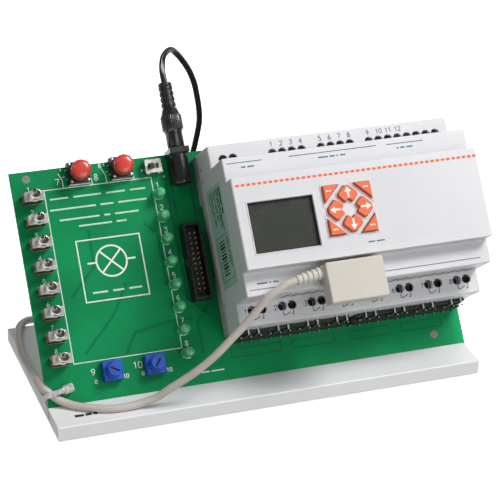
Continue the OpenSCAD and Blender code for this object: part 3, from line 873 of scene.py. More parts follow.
@dataclass
class Coil:
    """A wound coil: a spiral r = r0 + pitch * turns, layer on layer, a diameter apart."""

    centre: tuple[float, float]
    inner: float
    turns: float
    layers: int
    pitch: float

    def line(self, step: float) -> Array:
        """The wound line in millimetres, entering and leaving at its front.

        In layer k the radius runs between inner and inner + turns * pitch, out or in by
        turns, and the line climbs one diameter over the last eighth of a turn.
        """
        whole = []
        outer = self.inner + self.turns * self.pitch
        angle = -0.5 * np.pi
        for k in range(self.layers):
            count = int(2 * np.pi * self.turns * (self.inner + outer) / 2 / step)
            t = np.linspace(0, 1, count, endpoint=False)
            r = outer + (self.inner - outer) * t if k % 2 == 0 else self.inner + (
                outer - self.inner) * t
            turn = angle + 2 * np.pi * self.turns * t
            climb = np.clip((t - 1 + 1 / (8 * self.turns)) * 8 * self.turns, 0, 1)
            if k == self.layers - 1:
                climb = 0 * climb
            z = self.pitch * (0.5 + k + climb * climb * (3 - 2 * climb)) + 0.05
            whole.append(np.stack([self.centre[0] + r * np.cos(turn),
                                   self.centre[1] + r * np.sin(turn), z], 1))
            angle += 2 * np.pi * self.turns
        return np.concatenate(whole)


@dataclass
class ProgrammingLead:
    """Round cable from the programming plug, round the board's left edge to its coil."""

    diameter: float = 3.8
    length: float = 1500.0
    route: tuple = (
        (7, -52.5, 69), (2, -53, 68), (-3, -53.5, 65.5), (-7.5, -53.5, 62.5),
        (-11, -53.5, 58.5), (-18.5, -53.5, 50), (-26, -53.5, 42.5), (-34, -53, 34.5),
        (-43, -51, 26.5), (-54.5, -48, 18), (-59.5, -46.5, 14), (-66, -45, 11.5),
        (-72.5, -45, 10.5), (-81, -44.5, 10.5), (-89, -41.5, 10.5), (-96, -37.5, 10.5),
        (-100.5, -34, 11), (-104.5, -31.5, 12.5), (-108, -29.5, 15.5), (-111, -26, 17.5),
        (-111.5, -20, 17.5), (-111, -14, 15.5), (-110.5, -4, 12.5), (-109.5, 6, 11),
        (-109.5, 17, 10.5), (-108.5, 28, 10.5), (-106.5, 39, 10.5), (-103, 49, 10.5),
        (-96, 57, 8.5), (-86, 60, 4.5), (-75, 59, 2.5), (-63, 58, 2), (-52, 58, 2))
    tail: tuple = ((-52, 58, 13.5), (-45, 58, 12.5), (-39, 59.5, 10.5), (-33.5, 61, 7),
                   (-28, 62, 4.5), (-22, 62, 4.5))
    coil: Coil = field(default_factory=lambda: Coil((-52, 83), 16.5, 2.25, 4, 3.8))

    def connector(self) -> list[Object]:
        """Builds the far end: a ribbed relief, a rounded shell and a metal tongue."""
        ahead = rightwards(self.tail[-1])
        relief = lathe(ribbed(2.5, 3.2, 0.0, 8.6, 3, 0.35), 28).put(ahead)
        shell = slab(rounded(16.8, 8.4, 2.2), 8, 38).put(ahead)
        tongue = slab(rounded(12, 4.5, 0.4), 37, 53).put(ahead)
        return [
            build("computer_plug_relief", relief, PALE_PLUG),
            build("computer_plug_shell", shell, PALE_PLUG, bevel=0.8,
                  nodes=["usb_connector"]),
            build("computer_plug_tongue", tongue, STEEL, bevel=0.15)]

    def build(self, on_cord: Sequence[Object]) -> None:
        """Args:
            on_cord: Pieces at its near end that go with it; not used.
        """
        line = whole_line(self.route, self.coil, self.tail)
        tube = swept(line, circle(self.diameter / 2, 14)).put(WORLD)
        obj = build("programming_lead", tube, PALE_JACKET,
                    nodes=["programming_cable", "programming_cable_coil"], angle=80)
        WORLD.put(self.route[0])
        WORLD.put(line)
        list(self.connector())


def rightwards(at: Sequence[float]) -> Place:
    """A frame at a point in millimetres whose third axis runs to the right."""
    return Place(tuple(WORLD.put(at).tolist()), ((0, 1, 0), (0, 0, 1), (1, 0, 0)))


def whole_line(route: Sequence, coil: Coil, tail: Sequence) -> Array:
    """Joins a route, a coil and a tail into one evenly spaced line."""
    return np.concatenate([smooth_line(route, CORD_STEP)[:-1], coil.line(CORD_STEP),
                           smooth_line(tail, CORD_STEP)])


def ribbed(first: float, last: float, low: float, high: float, ribs: int,
           depth: float) -> list[tuple[float, float]]:
    """Profile of a tapered relief with square-ish rings.

    Args:
        first: Radius at the low end.
        last: Radius at the high end.
        low: Height where it starts.
        high: Height where it ends.
        ribs: Number of rings.
        depth: How far the rings stand out of the grooves.

    Returns:
        Radius and height pairs from the bottom up.
    """
    pitch = (high - low) / ribs
    out = []
    for k in range(ribs):
        for share, proud in ((0.0, 0), (0.3, 0), (0.38, 1), (0.92, 1), (1.0, 0)):
            h = low + pitch * (k + share)
            r = first + (last - first) * (h - low) / (high - low)
            out.append((r - depth * (1 - proud), h))
    return out


@dataclass
class SupplyLead:
    """Flat twin lead from the barrel plug, over and down behind the board to its coil."""

    width: float = 3.2
    thickness: float = 1.75
    length: float = 1500.0
    route: tuple = (
        (-25, 53, 131.5), (-25, 57, 136.5), (-24, 60.5, 140), (-22, 64, 142.5),
        (-17.5, 68, 143.5), (-13, 71, 139.5), (-8.5, 73, 133.5), (-5, 74.5, 127.5),
        (-2.5, 75, 121), (-1, 75.5, 114.5), (0, 75.5, 108.5), (0.5, 75.5, 102), (0, 75.5, 96),
        (-2.5, 75.5, 84), (-5.5, 75.5, 74), (-8, 75.5, 62), (-8.5, 75.5, 50), (-7, 75.5, 38),
        (-2.5, 75.5, 26), (3, 75.5, 17.5), (10, 75.5, 10), (18, 75.5, 5), (27, 75.5, 2),
        (36, 75.5, 2))
    tail: tuple = ((36, 75.5, 11), (43, 75.5, 11), (49.5, 75.5, 9.5), (56, 76, 8), (63, 76, 7))
    coil: Coil = field(default_factory=lambda: Coil((36, 97), 12, 3, 4, 3.2))

    def section(self, sides: int = 28) -> Array:
        """Two rounds side by side: x = (w - d) / 2 sgn(cos t) + d / 2 cos t, y = d / 2 sin t,
        pulled in by half where they meet."""
        t = np.linspace(0, 2 * np.pi, sides, endpoint=False) + np.pi / sides
        d = self.thickness
        x = (self.width - d) / 2 * np.sign(np.cos(t)) + d / 2 * np.cos(t)
        y = d / 2 * np.sin(t) * (1 - 0.5 * np.exp(-(x / 0.4) ** 2))
        return np.stack([x, y], 1)

    def far_plug(self) -> list[Object]:
        """Builds the twin plug: relief, body with a groove, and two ringed pins."""
        ahead = rightwards(self.tail[-1])
        relief = lathe(ribbed(2.5, 3.5, 0, 8.8, 3, 0.4), 28).put(ahead)
        body = slab(rounded(26, 14, 4), 8, 28).put(ahead)
        pins = joined([lathe([(1.9, 27), (1.9, 33), (2.0, 33.4), (2.0, 43), (1.6, 45.4),
                              (0.5, 46)], 24).moved(x).put(ahead) for x in (-9.5, 9.5)])
        return [build("supply_plug_relief", relief, BLACK),
                build("supply_plug_body", body, BLACK, bevel=1.0,
                      nodes=["twin_supply_plug"]),
                build("supply_plug_pins", pins, STEEL)]

    def build(self, on_cord: Sequence[Object]) -> None:
        """Args:
            on_cord: Pieces at its near end that go with it; not used.
        """
        line = whole_line(self.route, self.coil, self.tail)
        along = unit(np.gradient(line, axis=0))
        wide = np.cross(along, np.array([0.0, 1.0, 0.0]))
        count, ease = len(smooth_line(self.route, CORD_STEP)), 25
        lying = np.clip((np.arange(len(line)) - count + ease) / ease, 0, 1)[:, None]
        upright = np.array([0.0, 0.0, 1.0])
        wide = wide * (1 - lying) + upright * lying
        tube = swept(line, self.section(), wide).put(WORLD)
        obj = build("supply_lead_twin", tube, BLACK_LEAD,
                    nodes=["supply_lead", "supply_lead_coil"], angle=80)
        WORLD.put(self.route[0])
        WORLD.put(line)
        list(self.far_plug())


# ---------------------------------------------------------------- print and small shapes


def ring(section: Sequence[tuple[float, float]], sides: int = 32) -> Surface:
    """Turns a closed outline about z: p = (r cos t, r sin t, h), with no ends.

    Args:
        section: Radius and height pairs, anticlockwise.
        sides: Steps round the axis.

    Returns:
        The ring's surface.
    """
    return Surface(turned_points(section, sides), ring_faces(len(section), sides, True))


FIGURES = {
    "0": [[(0, .2), (0, .8), (.2, 1), (.45, 1), (.6, .8), (.6, .2), (.45, 0), (.2, 0), (0, .2)]],
    "1": [[(.12, .8), (.35, 1), (.35, 0)]],
    "2": [[(0, .8), (.15, 1), (.45, 1), (.6, .8), (.55, .55), (0, 0), (.6, 0)]],
    "3": [[(0, 1), (.6, 1), (.3, .6), (.5, .55), (.6, .3), (.45, 0), (.15, 0), (0, .15)]],
    "4": [[(.45, 0), (.45, 1), (0, .35), (.62, .35)]],
    "5": [[(.55, 1), (.08, 1), (.03, .58), (.4, .6), (.6, .35), (.45, 0), (.15, 0), (0, .12)]],
    "6": [[(.5, 1), (.2, .85), (0, .4), (.12, .05), (.45, 0), (.6, .3), (.45, .55), (.05, .45)]],
    "7": [[(0, 1), (.6, 1), (.2, 0)]],
    "8": [[(.3, .53), (.05, .75), (.18, 1), (.42, 1), (.55, .75), (.3, .53), (0, .28),
           (.15, 0), (.45, 0), (.6, .28), (.3, .53)]],
    "9": [[(.55, .55), (.2, .42), (0, .7), (.15, .97), (.45, 1), (.58, .7), (.5, .25),
           (.15, 0)]]}


def number(text: str, x: float, y: float, height: float, width: float, low: float,
           high: float) -> Surface:
    """Draws channel numbers as ribbons.

    Args:
        text: Digits.
        x: Left edge.
        y: Foot of the digits.
        height: Digit height.
        width: Ribbon width.
        low: Height of the underside.
        high: Height of the face.

    Returns:
        The ribbons' surface.
    """
    out = []
    for i, figure in enumerate(text):
        for line in FIGURES[figure]:
            points = np.array(line) * height + [x + i * height * 0.85, y]
            out.append(stroke(points, width, low, high))
    return joined(out)


def bars(x: float, y: float, lengths: Sequence[float], height: float, low: float, high: float,
         gap: float = 1.4) -> Surface:
    """A row of plain bars that stands in for a line of print."""
    out, at = [], x
    for length in lengths:
        out.append(stroke([(at, y), (at + length, y)], height, low, high))
        at += length + gap
    return joined(out)


def ground(surfaces: Sequence[Surface], place: Place = BOARD) -> Surface:
    """Joins surfaces drawn in a place's frame and lays them there."""
    return joined(list(surfaces)).put(place)


def joint_place(name: str) -> Place:
    """The board's axes with their origin on a joint's pivot."""
    found = [joint for joint in frame["joints"] if joint["name"] == name][0]
    return Place(tuple(float(x) for x in found["pos_m"]), BOARD.axes)


def node_middle(node: str) -> Array:
    """Middle of a node's box in the board's millimetres."""
    points = np.array([p.co for p in frame["nodes"][node].data.vertices], float)
    local = (points - np.array(BOARD.origin)) @ np.array(BOARD.axes).T / MM
    return (local.min(0) + local.max(0)) / 2


def over(node: str) -> Place:
    """The board's frame moved to lie under the middle of a node."""
    return BOARD.at(*node_middle(node)[:2])


# ---------------------------------------------------------------- stand and board


@dataclass
class BasePlate:
    """Coated plate on rubber feet, with plain marks near its front left corner."""

    marks: tuple[float, float, float] = (-99, -43, 2)

    def build(self) -> None:
        """Builds the plate, its feet and its marks."""
        softened("base_plate", PLATE, 0.55, 3, long_edges=60)
        softened("rubber_feet", RUBBER, 0.3)
        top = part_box("base_plate")[1].z / MM
        x, y, height = self.marks
        marks = bars(x, y, (4.4, 3.2, 2), height, top - 0.02, top + 0.08, 0.7)
        build("plate_marks", marks.put(WORLD), INK)


@dataclass
class CircuitBoard:
    """The sloping board: traces under lacquer, white print, pads and solder joints."""

    card: tuple[float, float, float, float] = (-76.3, -22.1, -1.7, 84.1)
    frame_box: tuple[float, float, float, float] = (-65.0, -33.2, 26.8, 57.2)
    symbol_at: tuple[float, float] = (-49.1, 45.6)
    symbol_radius: float = 7.6
    hole: tuple[float, float] = (-84.0, 90.7)
    corner_hole: tuple[float, float] = (108.8, -14.2)
    print_width: float = 0.4
    print_low: float = -0.02
    print_high: float = 0.05
    trace_high: float = 0.035

    def traces(self) -> Surface:
        """Tracks that show as darker lines: mitred ribbons under the lacquer."""
        lines = [[(-72, 30), (-58, 44), (-58, 62)], [(-70, 2), (-52, 20), (-44, 34)],
                 [(-50, -1), (-44, 9), (-26, 12), (-14, 12)], [(-30, 62), (-24, 56), (-24, 30)],
                 [(-15, 88), (-15, 22), (-4, 11)], [(-12.6, 84), (-12.6, 64)],
                 [(-3, 82), (-3, 20), (-12, 10), (-12, -6)]]
        boxes = [corners(left, right, -10.4, -6.2)
                 for left, right in ((2, 28), (34, 56), (64, 86), (92, 114))]
        low, high = self.print_low, self.trace_high
        out = [stroke(line, 1.5, low, high) for line in lines]
        out += [stroke(box, 0.7, low, high, True) for box in boxes]
        return ground(out)

    def symbol(self) -> list[Surface]:
        """A lamp symbol: a circle with a cross and two leads, in its own frame."""
        low, high, width = self.print_low, self.print_high, 0.85
        (u, v), r, lead = self.symbol_at, self.symbol_radius, 4.5
        d = r * 0.7
        lines = [[(u - d, v - d), (u + d, v + d)], [(u - d, v + d), (u + d, v - d)],
                 [(u - r, v), (u - r - lead, v)], [(u + r, v), (u + r + lead, v)]]
        return [stroke(circle(r, 39) + [u, v], width, low, high, True),
                *(stroke(line, width, low, high) for line in lines)]

    def printing(self) -> Surface:
        """All the white print, as thin raised ribbons."""
        low, high, w = self.print_low, self.print_high, self.print_width
        out = [stroke(corners(*self.card), w, low, high, True),
               stroke(corners(*self.frame_box), 0.6, low, high, True), *self.symbol()]
        for k in CHANNELS:
            down = CHANNEL_PITCH * k
            out.append(number(str(k + 1), -84.4, 84.4 - down, 2.2, 0.3, low, high))
            out.append(number(str(k + 1), -20.2, 78.7 - down, 2.4, 0.32, low, high))
        marks = (("7", -69.8, 86.0, 2.9), ("8", -50.4, 86.2, 2.9), ("8", -47.4, 92.0, 2.2),
                 ("9", -68.6, -8.4, 2.9), ("10", -47.6, -8.2, 2.9), ("0", -67.6, -12.6, 1.7),
                 ("10", -53.4, -12.0, 1.8), ("0", -44.0, -12.0, 1.7), ("10", -31.6, -12.2, 1.8))
        out += [number(text, u, v, h, 0.34, low, high) for text, u, v, h in marks]
        for u in (-66.4, -44.6):
            out += [stroke(line, width, low, high) for line, width in (
                ([(u, 84.1), (u, 88.0)], 0.36), ([(u, 88.0), (u - 1.6, 91.6)], 0.36),
                ([(u, 92.6), (u, 94.0)], 0.36), ([(u, 89.6), (u + 1.6, 89.6)], 0.3))]
        out += [stroke([(u, 84.1), (u, 87.4)], 0.36, low, high) for u in (-51.9, -30.6)]
        out.append(bars(-14.5, -15.2, (4, 6.5), 0.6, low, high, 1.0))
        return ground(out)

    def words(self) -> Surface:
        """Rows of plain bars in place of the printed lines."""
        rows = ((-74, 79.3, (9, 14, 9.5, 7.8), 0.8, 2.6), (-75, 73.9, (23, 6.6, 14.5), 0.8, 2.4),
                (-71, 68.5, (20, 3, 12), 0.8, 2.4), (-62, 64.6, (16.6, 5), 0.8, 2.3),
                (-61, 31.0, (7.5, 5.5, 6.5), 0.9, 2.6))
        return ground([bars(x, y, lengths, height, self.print_low, self.print_high, gap)
                       for x, y, lengths, height, gap in rows])

    def joints(self) -> Surface:
        """Solder joints on the back: cones that run up their leads."""
        cone = lathe([(0.2, -3.3), (0.34, -3.2), (0.36, -2.6), (0.6, -2.0), (1.0, -1.58)], 12)
        spots = [(-8.6 + s * 1.27, 38.6 + (r - 5.5) * 2.54) for r in range(12) for s in (-1, 1)]
        spots += [(u, -2.2) for u in LOWER_TERMINALS]
        spots += [(u, 92.2) for u in UPPER_TERMINALS]
        for k in CHANNELS:
            for (u, v), legs in ((TOGGLE_FIRST, (-2.5, 0, 2.5)), (LAMP_FIRST, (-1.27, 1.27))):
                spots += [(u + x, v - CHANNEL_PITCH * k) for x in legs]
        for u in (-58.6, -37.1):
            spots += [(u + x, 90.2 + y) for x in (-3.3, 3.3) for y in (-2.3, 2.3)]
        for u in (-58.9, -37.5):
            spots += [(u + x, -7.9 + y) for x, y in ((-2.5, -2.5), (2.5, -2.5), (0, 2.5))]
        spots += [(-8.2, 82.5), (-8.2, 88.5), (-11, 86), (-22.2, 88.8), (-19.8, 88.8)]
        return ground([cone.moved(u, v) for u, v in spots])

    def build(self) -> None:
        """Builds the board's surface details."""
        softened("circuit_board", LACQUER, 0.15, 1, long_edges=90)
        build("board_traces", self.traces(), TRACE)
        build("board_print", self.printing(), SILK)
        build("board_words", self.words(), FAINT_SILK)
        build("board_solder_joints", self.joints(), SOLDER)
        pad = lathe([(0.7, -0.6), (1.9, -0.02), (1.9, 0.06), (1.5, 0.08), (0.3, -0.1)], 32)
        pads = [pad.moved(*self.hole), pad.moved(*self.corner_hole)]
        build("board_hole_pads", ground(pads), WORN_PAD)


@dataclass
class RearStructure:
    """Braces, their screws and the spacers behind the board."""

    def build(self) -> None:
        """Builds the parts behind the board."""
        softened("rear_braces", BRACE, 0.4, 2)
        softened("brace_screws", STEEL, 0.15, 2)
        softened("board_spacers", BLACK, 0.3, 2)


@dataclass
class ToggleBank:
    """Eight small toggle switches in a column."""

    count: int = 8
    lean: float = 9.0
    plate: tuple[float, float] = (9.2, 4.8)
    bush: float = 2.4
    bore: float = 2.02

    def bush_section(self) -> list[tuple[float, float]]:
        """Threaded bush: outer radius falls by 0.14 in each groove, 0.7 apart."""
        out = [(self.bore, 8.4), (self.bush, 8.4)]
        for k in range(6):
            h = 9.6 + 0.7 * k
            out += [(self.bush, h), (self.bush - 0.14, h + 0.2), (self.bush, h + 0.4)]
        return out + [(self.bush, 14.0), (self.bush - 0.2, 14.2), (self.bore, 14.2)]

    def build(self) -> None:
        """Builds housings, frames, legs and levers."""
        # the housings' red is darkened nearly to black as painted shade
        softened("toggle_housings", SWITCH_RED_PAINTED_SHADE, 0.25)
        frames, legs, nuts = [], [], []
        w, h = self.plate
        for k in range(self.count):
            place = joint_place(f"toggle_{k + 1}_throw").at(0, 0, -10.5)
            top = slab(rounded(w, h, 0.5), 7.6, 8.6)
            sides = [block(x, (-h / 2 + 0.2, h / 2 - 0.2), (0.1, 7.7))
                     for x in ((-w / 2, -w / 2 + 0.4), (w / 2 - 0.4, w / 2))]
            frames.append(joined([top, *sides]).put(place))
            nuts.append(joined([ring(self.bush_section()),
                                ring([(self.bush - 0.05, 8.5), (3.0, 8.5), (3.0, 9.1),
                                      (2.85, 9.3), (self.bush - 0.05, 9.3)])]).put(place))
            legs.append(joined([block((-5.15, -4.75), (y - 0.55, y + 0.55), (0.05, 5.2))
                                for y in (-1.5, 1.5)]
                               + [block((-4.2, 4.2), (-2.75, -2.45), (0.6, 1.5))]).put(place))
        build("toggle_frame_plates", joined(frames), STEEL, bevel=0.14,
              nodes=["toggle_frames"])
        build("toggle_bushes", joined(nuts), STEEL, angle=50)
        build("toggle_legs", joined(legs), COPPER_LEG, bevel=0.1)
        bat = lathe([(0.6, -1.2), (0.85, -0.9), (0.8, 5.0), (0.92, 6.6), (1.15, 8.0),
                     (1.25, 9.0), (1.25, 9.6), (1.15, 10.1), (0.85, 10.45), (0.4, 10.62)], 28)
        for k in range(self.count):
            place = joint_place(f"toggle_{k + 1}_throw").turned(-self.lean, 1)
            node = f"toggle_lever_{k + 1}"
            # the levers' dark chrome is a painted dark reflection
            build(node + "_bat", bat.put(place), CHROME_PAINTED_DARK, body=node, nodes=[node])


@dataclass
class PushButtons:
    """Two push buttons with domed caps on black bases held by a bright bracket."""

    numbers: tuple[int, ...] = (7, 8)
    half: float = 5.3
    radius: float = 4.8

    def cap(self) -> Surface:
        """Gently domed cap: (r cos^0.55 t, 11.1 + 1.9 sin t) above its straight side."""
        t = np.linspace(0.06, np.pi / 2 - 0.05, 16)
        dome = np.stack([self.radius * np.cos(t) ** 0.55, 11.1 + 1.9 * np.sin(t)], 1).tolist()
        return lathe([(2.4, 2.0), (2.4, 6.1), (4.45, 6.1), (4.75, 6.3), (self.radius, 6.7),
                      (self.radius, 10.6), *dome], 56)

    def build(self) -> None:
        """Builds bases, brackets and caps."""
        softened("push_button_bases", BLACK, 0.3)
        brackets, pins = [], []
        s = self.half
        for n in self.numbers:
            place = over(f"push_button_cap_{n}")
            build(f"push_button_{n}_dome", self.cap().put(place), CAP_RED,
                  body=f"push_button_cap_{n}", nodes=[f"push_button_cap_{n}"])
            brackets.append(joined([
                block((-s, s), (-s - 0.35, -s), (0.1, 2.6)),
                block((-s, s), (s, s + 0.35), (0.1, 2.6)),
                block((s, s + 0.3), (-s - 0.35, s * 0.4), (0.1, 1.4))]).put(place))
            pins.append(joined([block((-s - 0.7, -s + 0.1), (y - 0.4, y + 0.4), (0.3, 1.6))
                                for y in (-2.3, 2.3)]
                               + [lathe([(0.7, 4.9), (0.7, 5.2), (0.5, 5.3)], 14).moved(x, y)
                                  for x in (-4.2, 4.2) for y in (-4.2, 4.2)]).put(place))
        build("push_button_brackets", joined(brackets), STEEL, bevel=0.1)
        build("push_button_pins", joined(pins), STEEL, bevel=0.08)


@dataclass
class SlideSwitch:
    """Small slide switch in a folded metal case."""

    def build(self) -> None:
        """Builds the case, its tabs and the knob."""
        softened("slide_switch_body", STEEL, 0.06)
        softened("slide_switch_knob", BLACK, 0.3)
        place = over("slide_switch_body")
        tabs = [block((x - 0.9, x + 0.9), (y - 0.2, y + 0.2), (0.05, 3.4))
                for x in (-2.6, 2.6) for y in (-3.45, 3.45)]
        ends = [lathe([(0.75, 0.05), (0.75, 0.5), (0.45, 0.9)], 16).moved(x, y)
                for x, y in ((-5.2, -0.6), (5.2, -2.4), (5.6, -5.0))]
        build("slide_switch_tabs", ground(tabs + ends, place), STEEL, bevel=0.08)


@dataclass
class Dials:
    """Two trimmers, each a square blue body with a slotted rotor."""

    slot_depth: float = 8.24

    def build(self) -> None:
        """Builds bodies, rotors and dark sheets of painted shade in their slots."""
        softened("dial_bodies", BLUE, 0.3)
        collars = []
        for name, turn in (("dial_knob_b", 57.0), ("dial_knob_a", -37.0)):
            softened(name, BLUE, 0.16, 2)
            place = over(name)
            # painted shade: dark sheets at the bottom of the slot and at its arrow-shaped end
            slot_shade = block((-0.46, 0.46), (-2.3, 2.3),
                           (self.slot_depth - 0.1, self.slot_depth + 0.02))
            arrow_shade = slab([(-0.9, 1.2), (0, 2.9), (0.9, 1.2)][::-1], 8.96, 9.03)
            build(name + "_slot", ground([slot_shade, arrow_shade], place.turned(turn)), OPENING_SHADE,
                  body=name)
            collars.append(ring([(4.0, 4.9), (4.5, 4.9), (4.4, 5.35), (4.05, 5.35)], 40)
                           .put(place))
        build("dial_collars", joined(collars), BLUE)


@dataclass
class LampColumn:
    """Eight lamps: a tinted dome over a cup and two posts."""

    radius: float = 2.5

    def lens(self) -> Surface:
        """Dome over a flange: (r cos t, 6.1 + r sin t) above the straight side."""
        t = np.linspace(0.1, np.pi / 2 - 0.06, 12)
        dome = np.stack([self.radius * np.cos(t), 6.1 + self.radius * np.sin(t)], 1).tolist()
        return lathe([(2.7, 0.02), (2.9, 0.15), (2.9, 1.0), (2.8, 1.2), (self.radius, 1.25),
                      (self.radius, 6.0), *dome], 40)

    def build(self) -> None:
        """Builds the lenses and what shows inside them."""
        u, v = LAMP_FIRST
        places = [BOARD.at(u, v - CHANNEL_PITCH * k) for k in CHANNELS]
        build("lamp_lenses", joined([self.lens().put(p) for p in places]), LENS,
              nodes=["output_lamps"])
        inside = joined([
            ring([(0.45, 3.4), (1.1, 3.2), (1.3, 4.3), (1.15, 4.3)], 20).moved(-0.35, 0),
            block((-1.5, -0.1), (-0.25, 0.25), (0.4, 3.5)),
            block((0.95, 1.35), (-0.25, 0.25), (0.4, 4.4))])
        build("lamp_leadframes", joined([inside.put(p) for p in places]), SOLDER)


@dataclass
class BoxHeader:
    """Shrouded two-row header with gilt pins."""

    def build(self) -> None:
        """Builds the shroud and the pins."""
        softened("box_header", BLACK, 0.25)
        softened("header_pins", GOLD, 0.12, 1)


@dataclass
class SupplyJack:
    """Barrel jack on the board's top edge, with its plug."""

    u: float = -8.2
    height: float = 6.0

    def plug(self) -> Surface:
        """Plug turned along v, with a finely ribbed grip: r (1 + 0.022 sgn sin 36 t)."""
        body = lathe([(2.7, 84.5), (2.7, 95.3), (3.9, 95.5), (4.3, 95.9), (4.3, 103.4),
                      (4.6, 104.4), (5.05, 104.9), (5.15, 105.2), (5.15, 111.9), (5.0, 112.3),
                      (4.7, 112.9), (4.2, 114.4), (3.8, 115.6), (3.3, 116.2)], 216)
        r = np.hypot(body.points[:, 0], body.points[:, 1])
        t = np.arctan2(body.points[:, 1], body.points[:, 0])
        grip = (r > 5.1) * 0.022 * np.sign(np.sin(36 * t + 0.01))
        body.points[:, :2] *= (1 + grip)[:, None]
        return body

    def build(self) -> dict[str, list[Object]]:
        """Builds the jack and the plug.

        Returns:
            The plug's pieces, which go with the supply lead.
        """
        softened("dc_jack", BLACK_GLOSS, 0.3)
        u, v, w = BOARD.axes
        axis = Place(BOARD.at(self.u, 0, self.height).origin, (u, tuple(-x for x in w), v))
        nose = ring([(3.1, 77.6), (4.5, 77.6), (4.75, 78.0), (4.75, 79.4), (4.5, 79.6),
                     (3.1, 79.6)]).put(axis)
        build("jack_nose_ring", nose, BLACK_GLOSS)
        relief = lathe([*ribbed(3.7, 3.5, 116.0, 127.4, 4, 0.4), (3.45, 127.9), (3.4, 128.7),
                        (2.9, 129.2)], 32).put(axis)
        return {"supply": [
            build("supply_plug_barrel", self.plug().put(axis), BLACK_GLOSS,
                  nodes=["dc_plug"], angle=50),
            build("supply_plug_sleeve", relief, BLACK, angle=30)]}


@dataclass
class TerminalStrips:
    """Black pin strips along both sides of the controller, with bright pins."""

    runs: tuple = ((1.5, 59.9, 0, -1), (63.6, 122, 0, -1), (4.6, 60.5, 90, 1),
                   (61.2, 121.5, 90, 1))
    pitch: float = 2.54
    low_height: float = 8.5
    high_height: float = 16.3

    def cell(self, width: float, depth: float, height: float) -> Surface:
        """One cell of a row: a block with its corners cut back, and a raised mouth."""
        c, d, k = width / 2, depth / 2, 0.3
        outline = [(-c + k, -d), (c - k, -d), (c, -d + k), (c, d - k), (c - k, d), (-c + k, d),
                   (-c, d - k), (-c, -d + k)]
        r = min(c, d)
        return joined([slab(outline, 0.02, height - 0.35),
                       ring([(r - 0.45, height - 0.45), (r - 0.1, height - 0.45),
                             (r - 0.15, height), (r - 0.4, height)], 10)])

    def build(self) -> None:
        """Builds the strips, their feet and the pins."""
        rows, pins, feet = [], [], []
        for start, end, edge, way in self.runs:
            count = round((end - start) / self.pitch)
            width = (end - start) / count
            for near, far, height in ((0.12, 1.6, self.high_height),
                                      (1.6, 3.4, self.low_height)):
                v = edge + way * (near + far) / 2
                cell = self.cell(width * 0.97, far - near, height)
                rows += [cell.moved(start + width * (k + 0.5), v) for k in range(count)]
            post = block((-0.3, 0.3), (-0.3, 0.3), (self.low_height - 0.6, 10.4))
            foot = lathe([(0.55, 0.02), (0.5, 0.6), (0.3, 1.1)], 12)
            for k in range(0, count, 2):
                u = start + width * (k + 0.5)
                pins.append(post.moved(u + width, edge + way * 2.6))
                feet.append(foot.moved(u, edge + way * 3.7))
        build("terminal_strip_cells", ground(rows), BLACK,
              nodes=["terminal_strips"], angle=25)
        build("terminal_strip_posts", ground(pins), TIN)
        build("terminal_strip_feet", ground(feet), COPPER_LEG)
        softened("terminal_pins", TIN, 0.12, 1)


# ---------------------------------------------------------------- controller


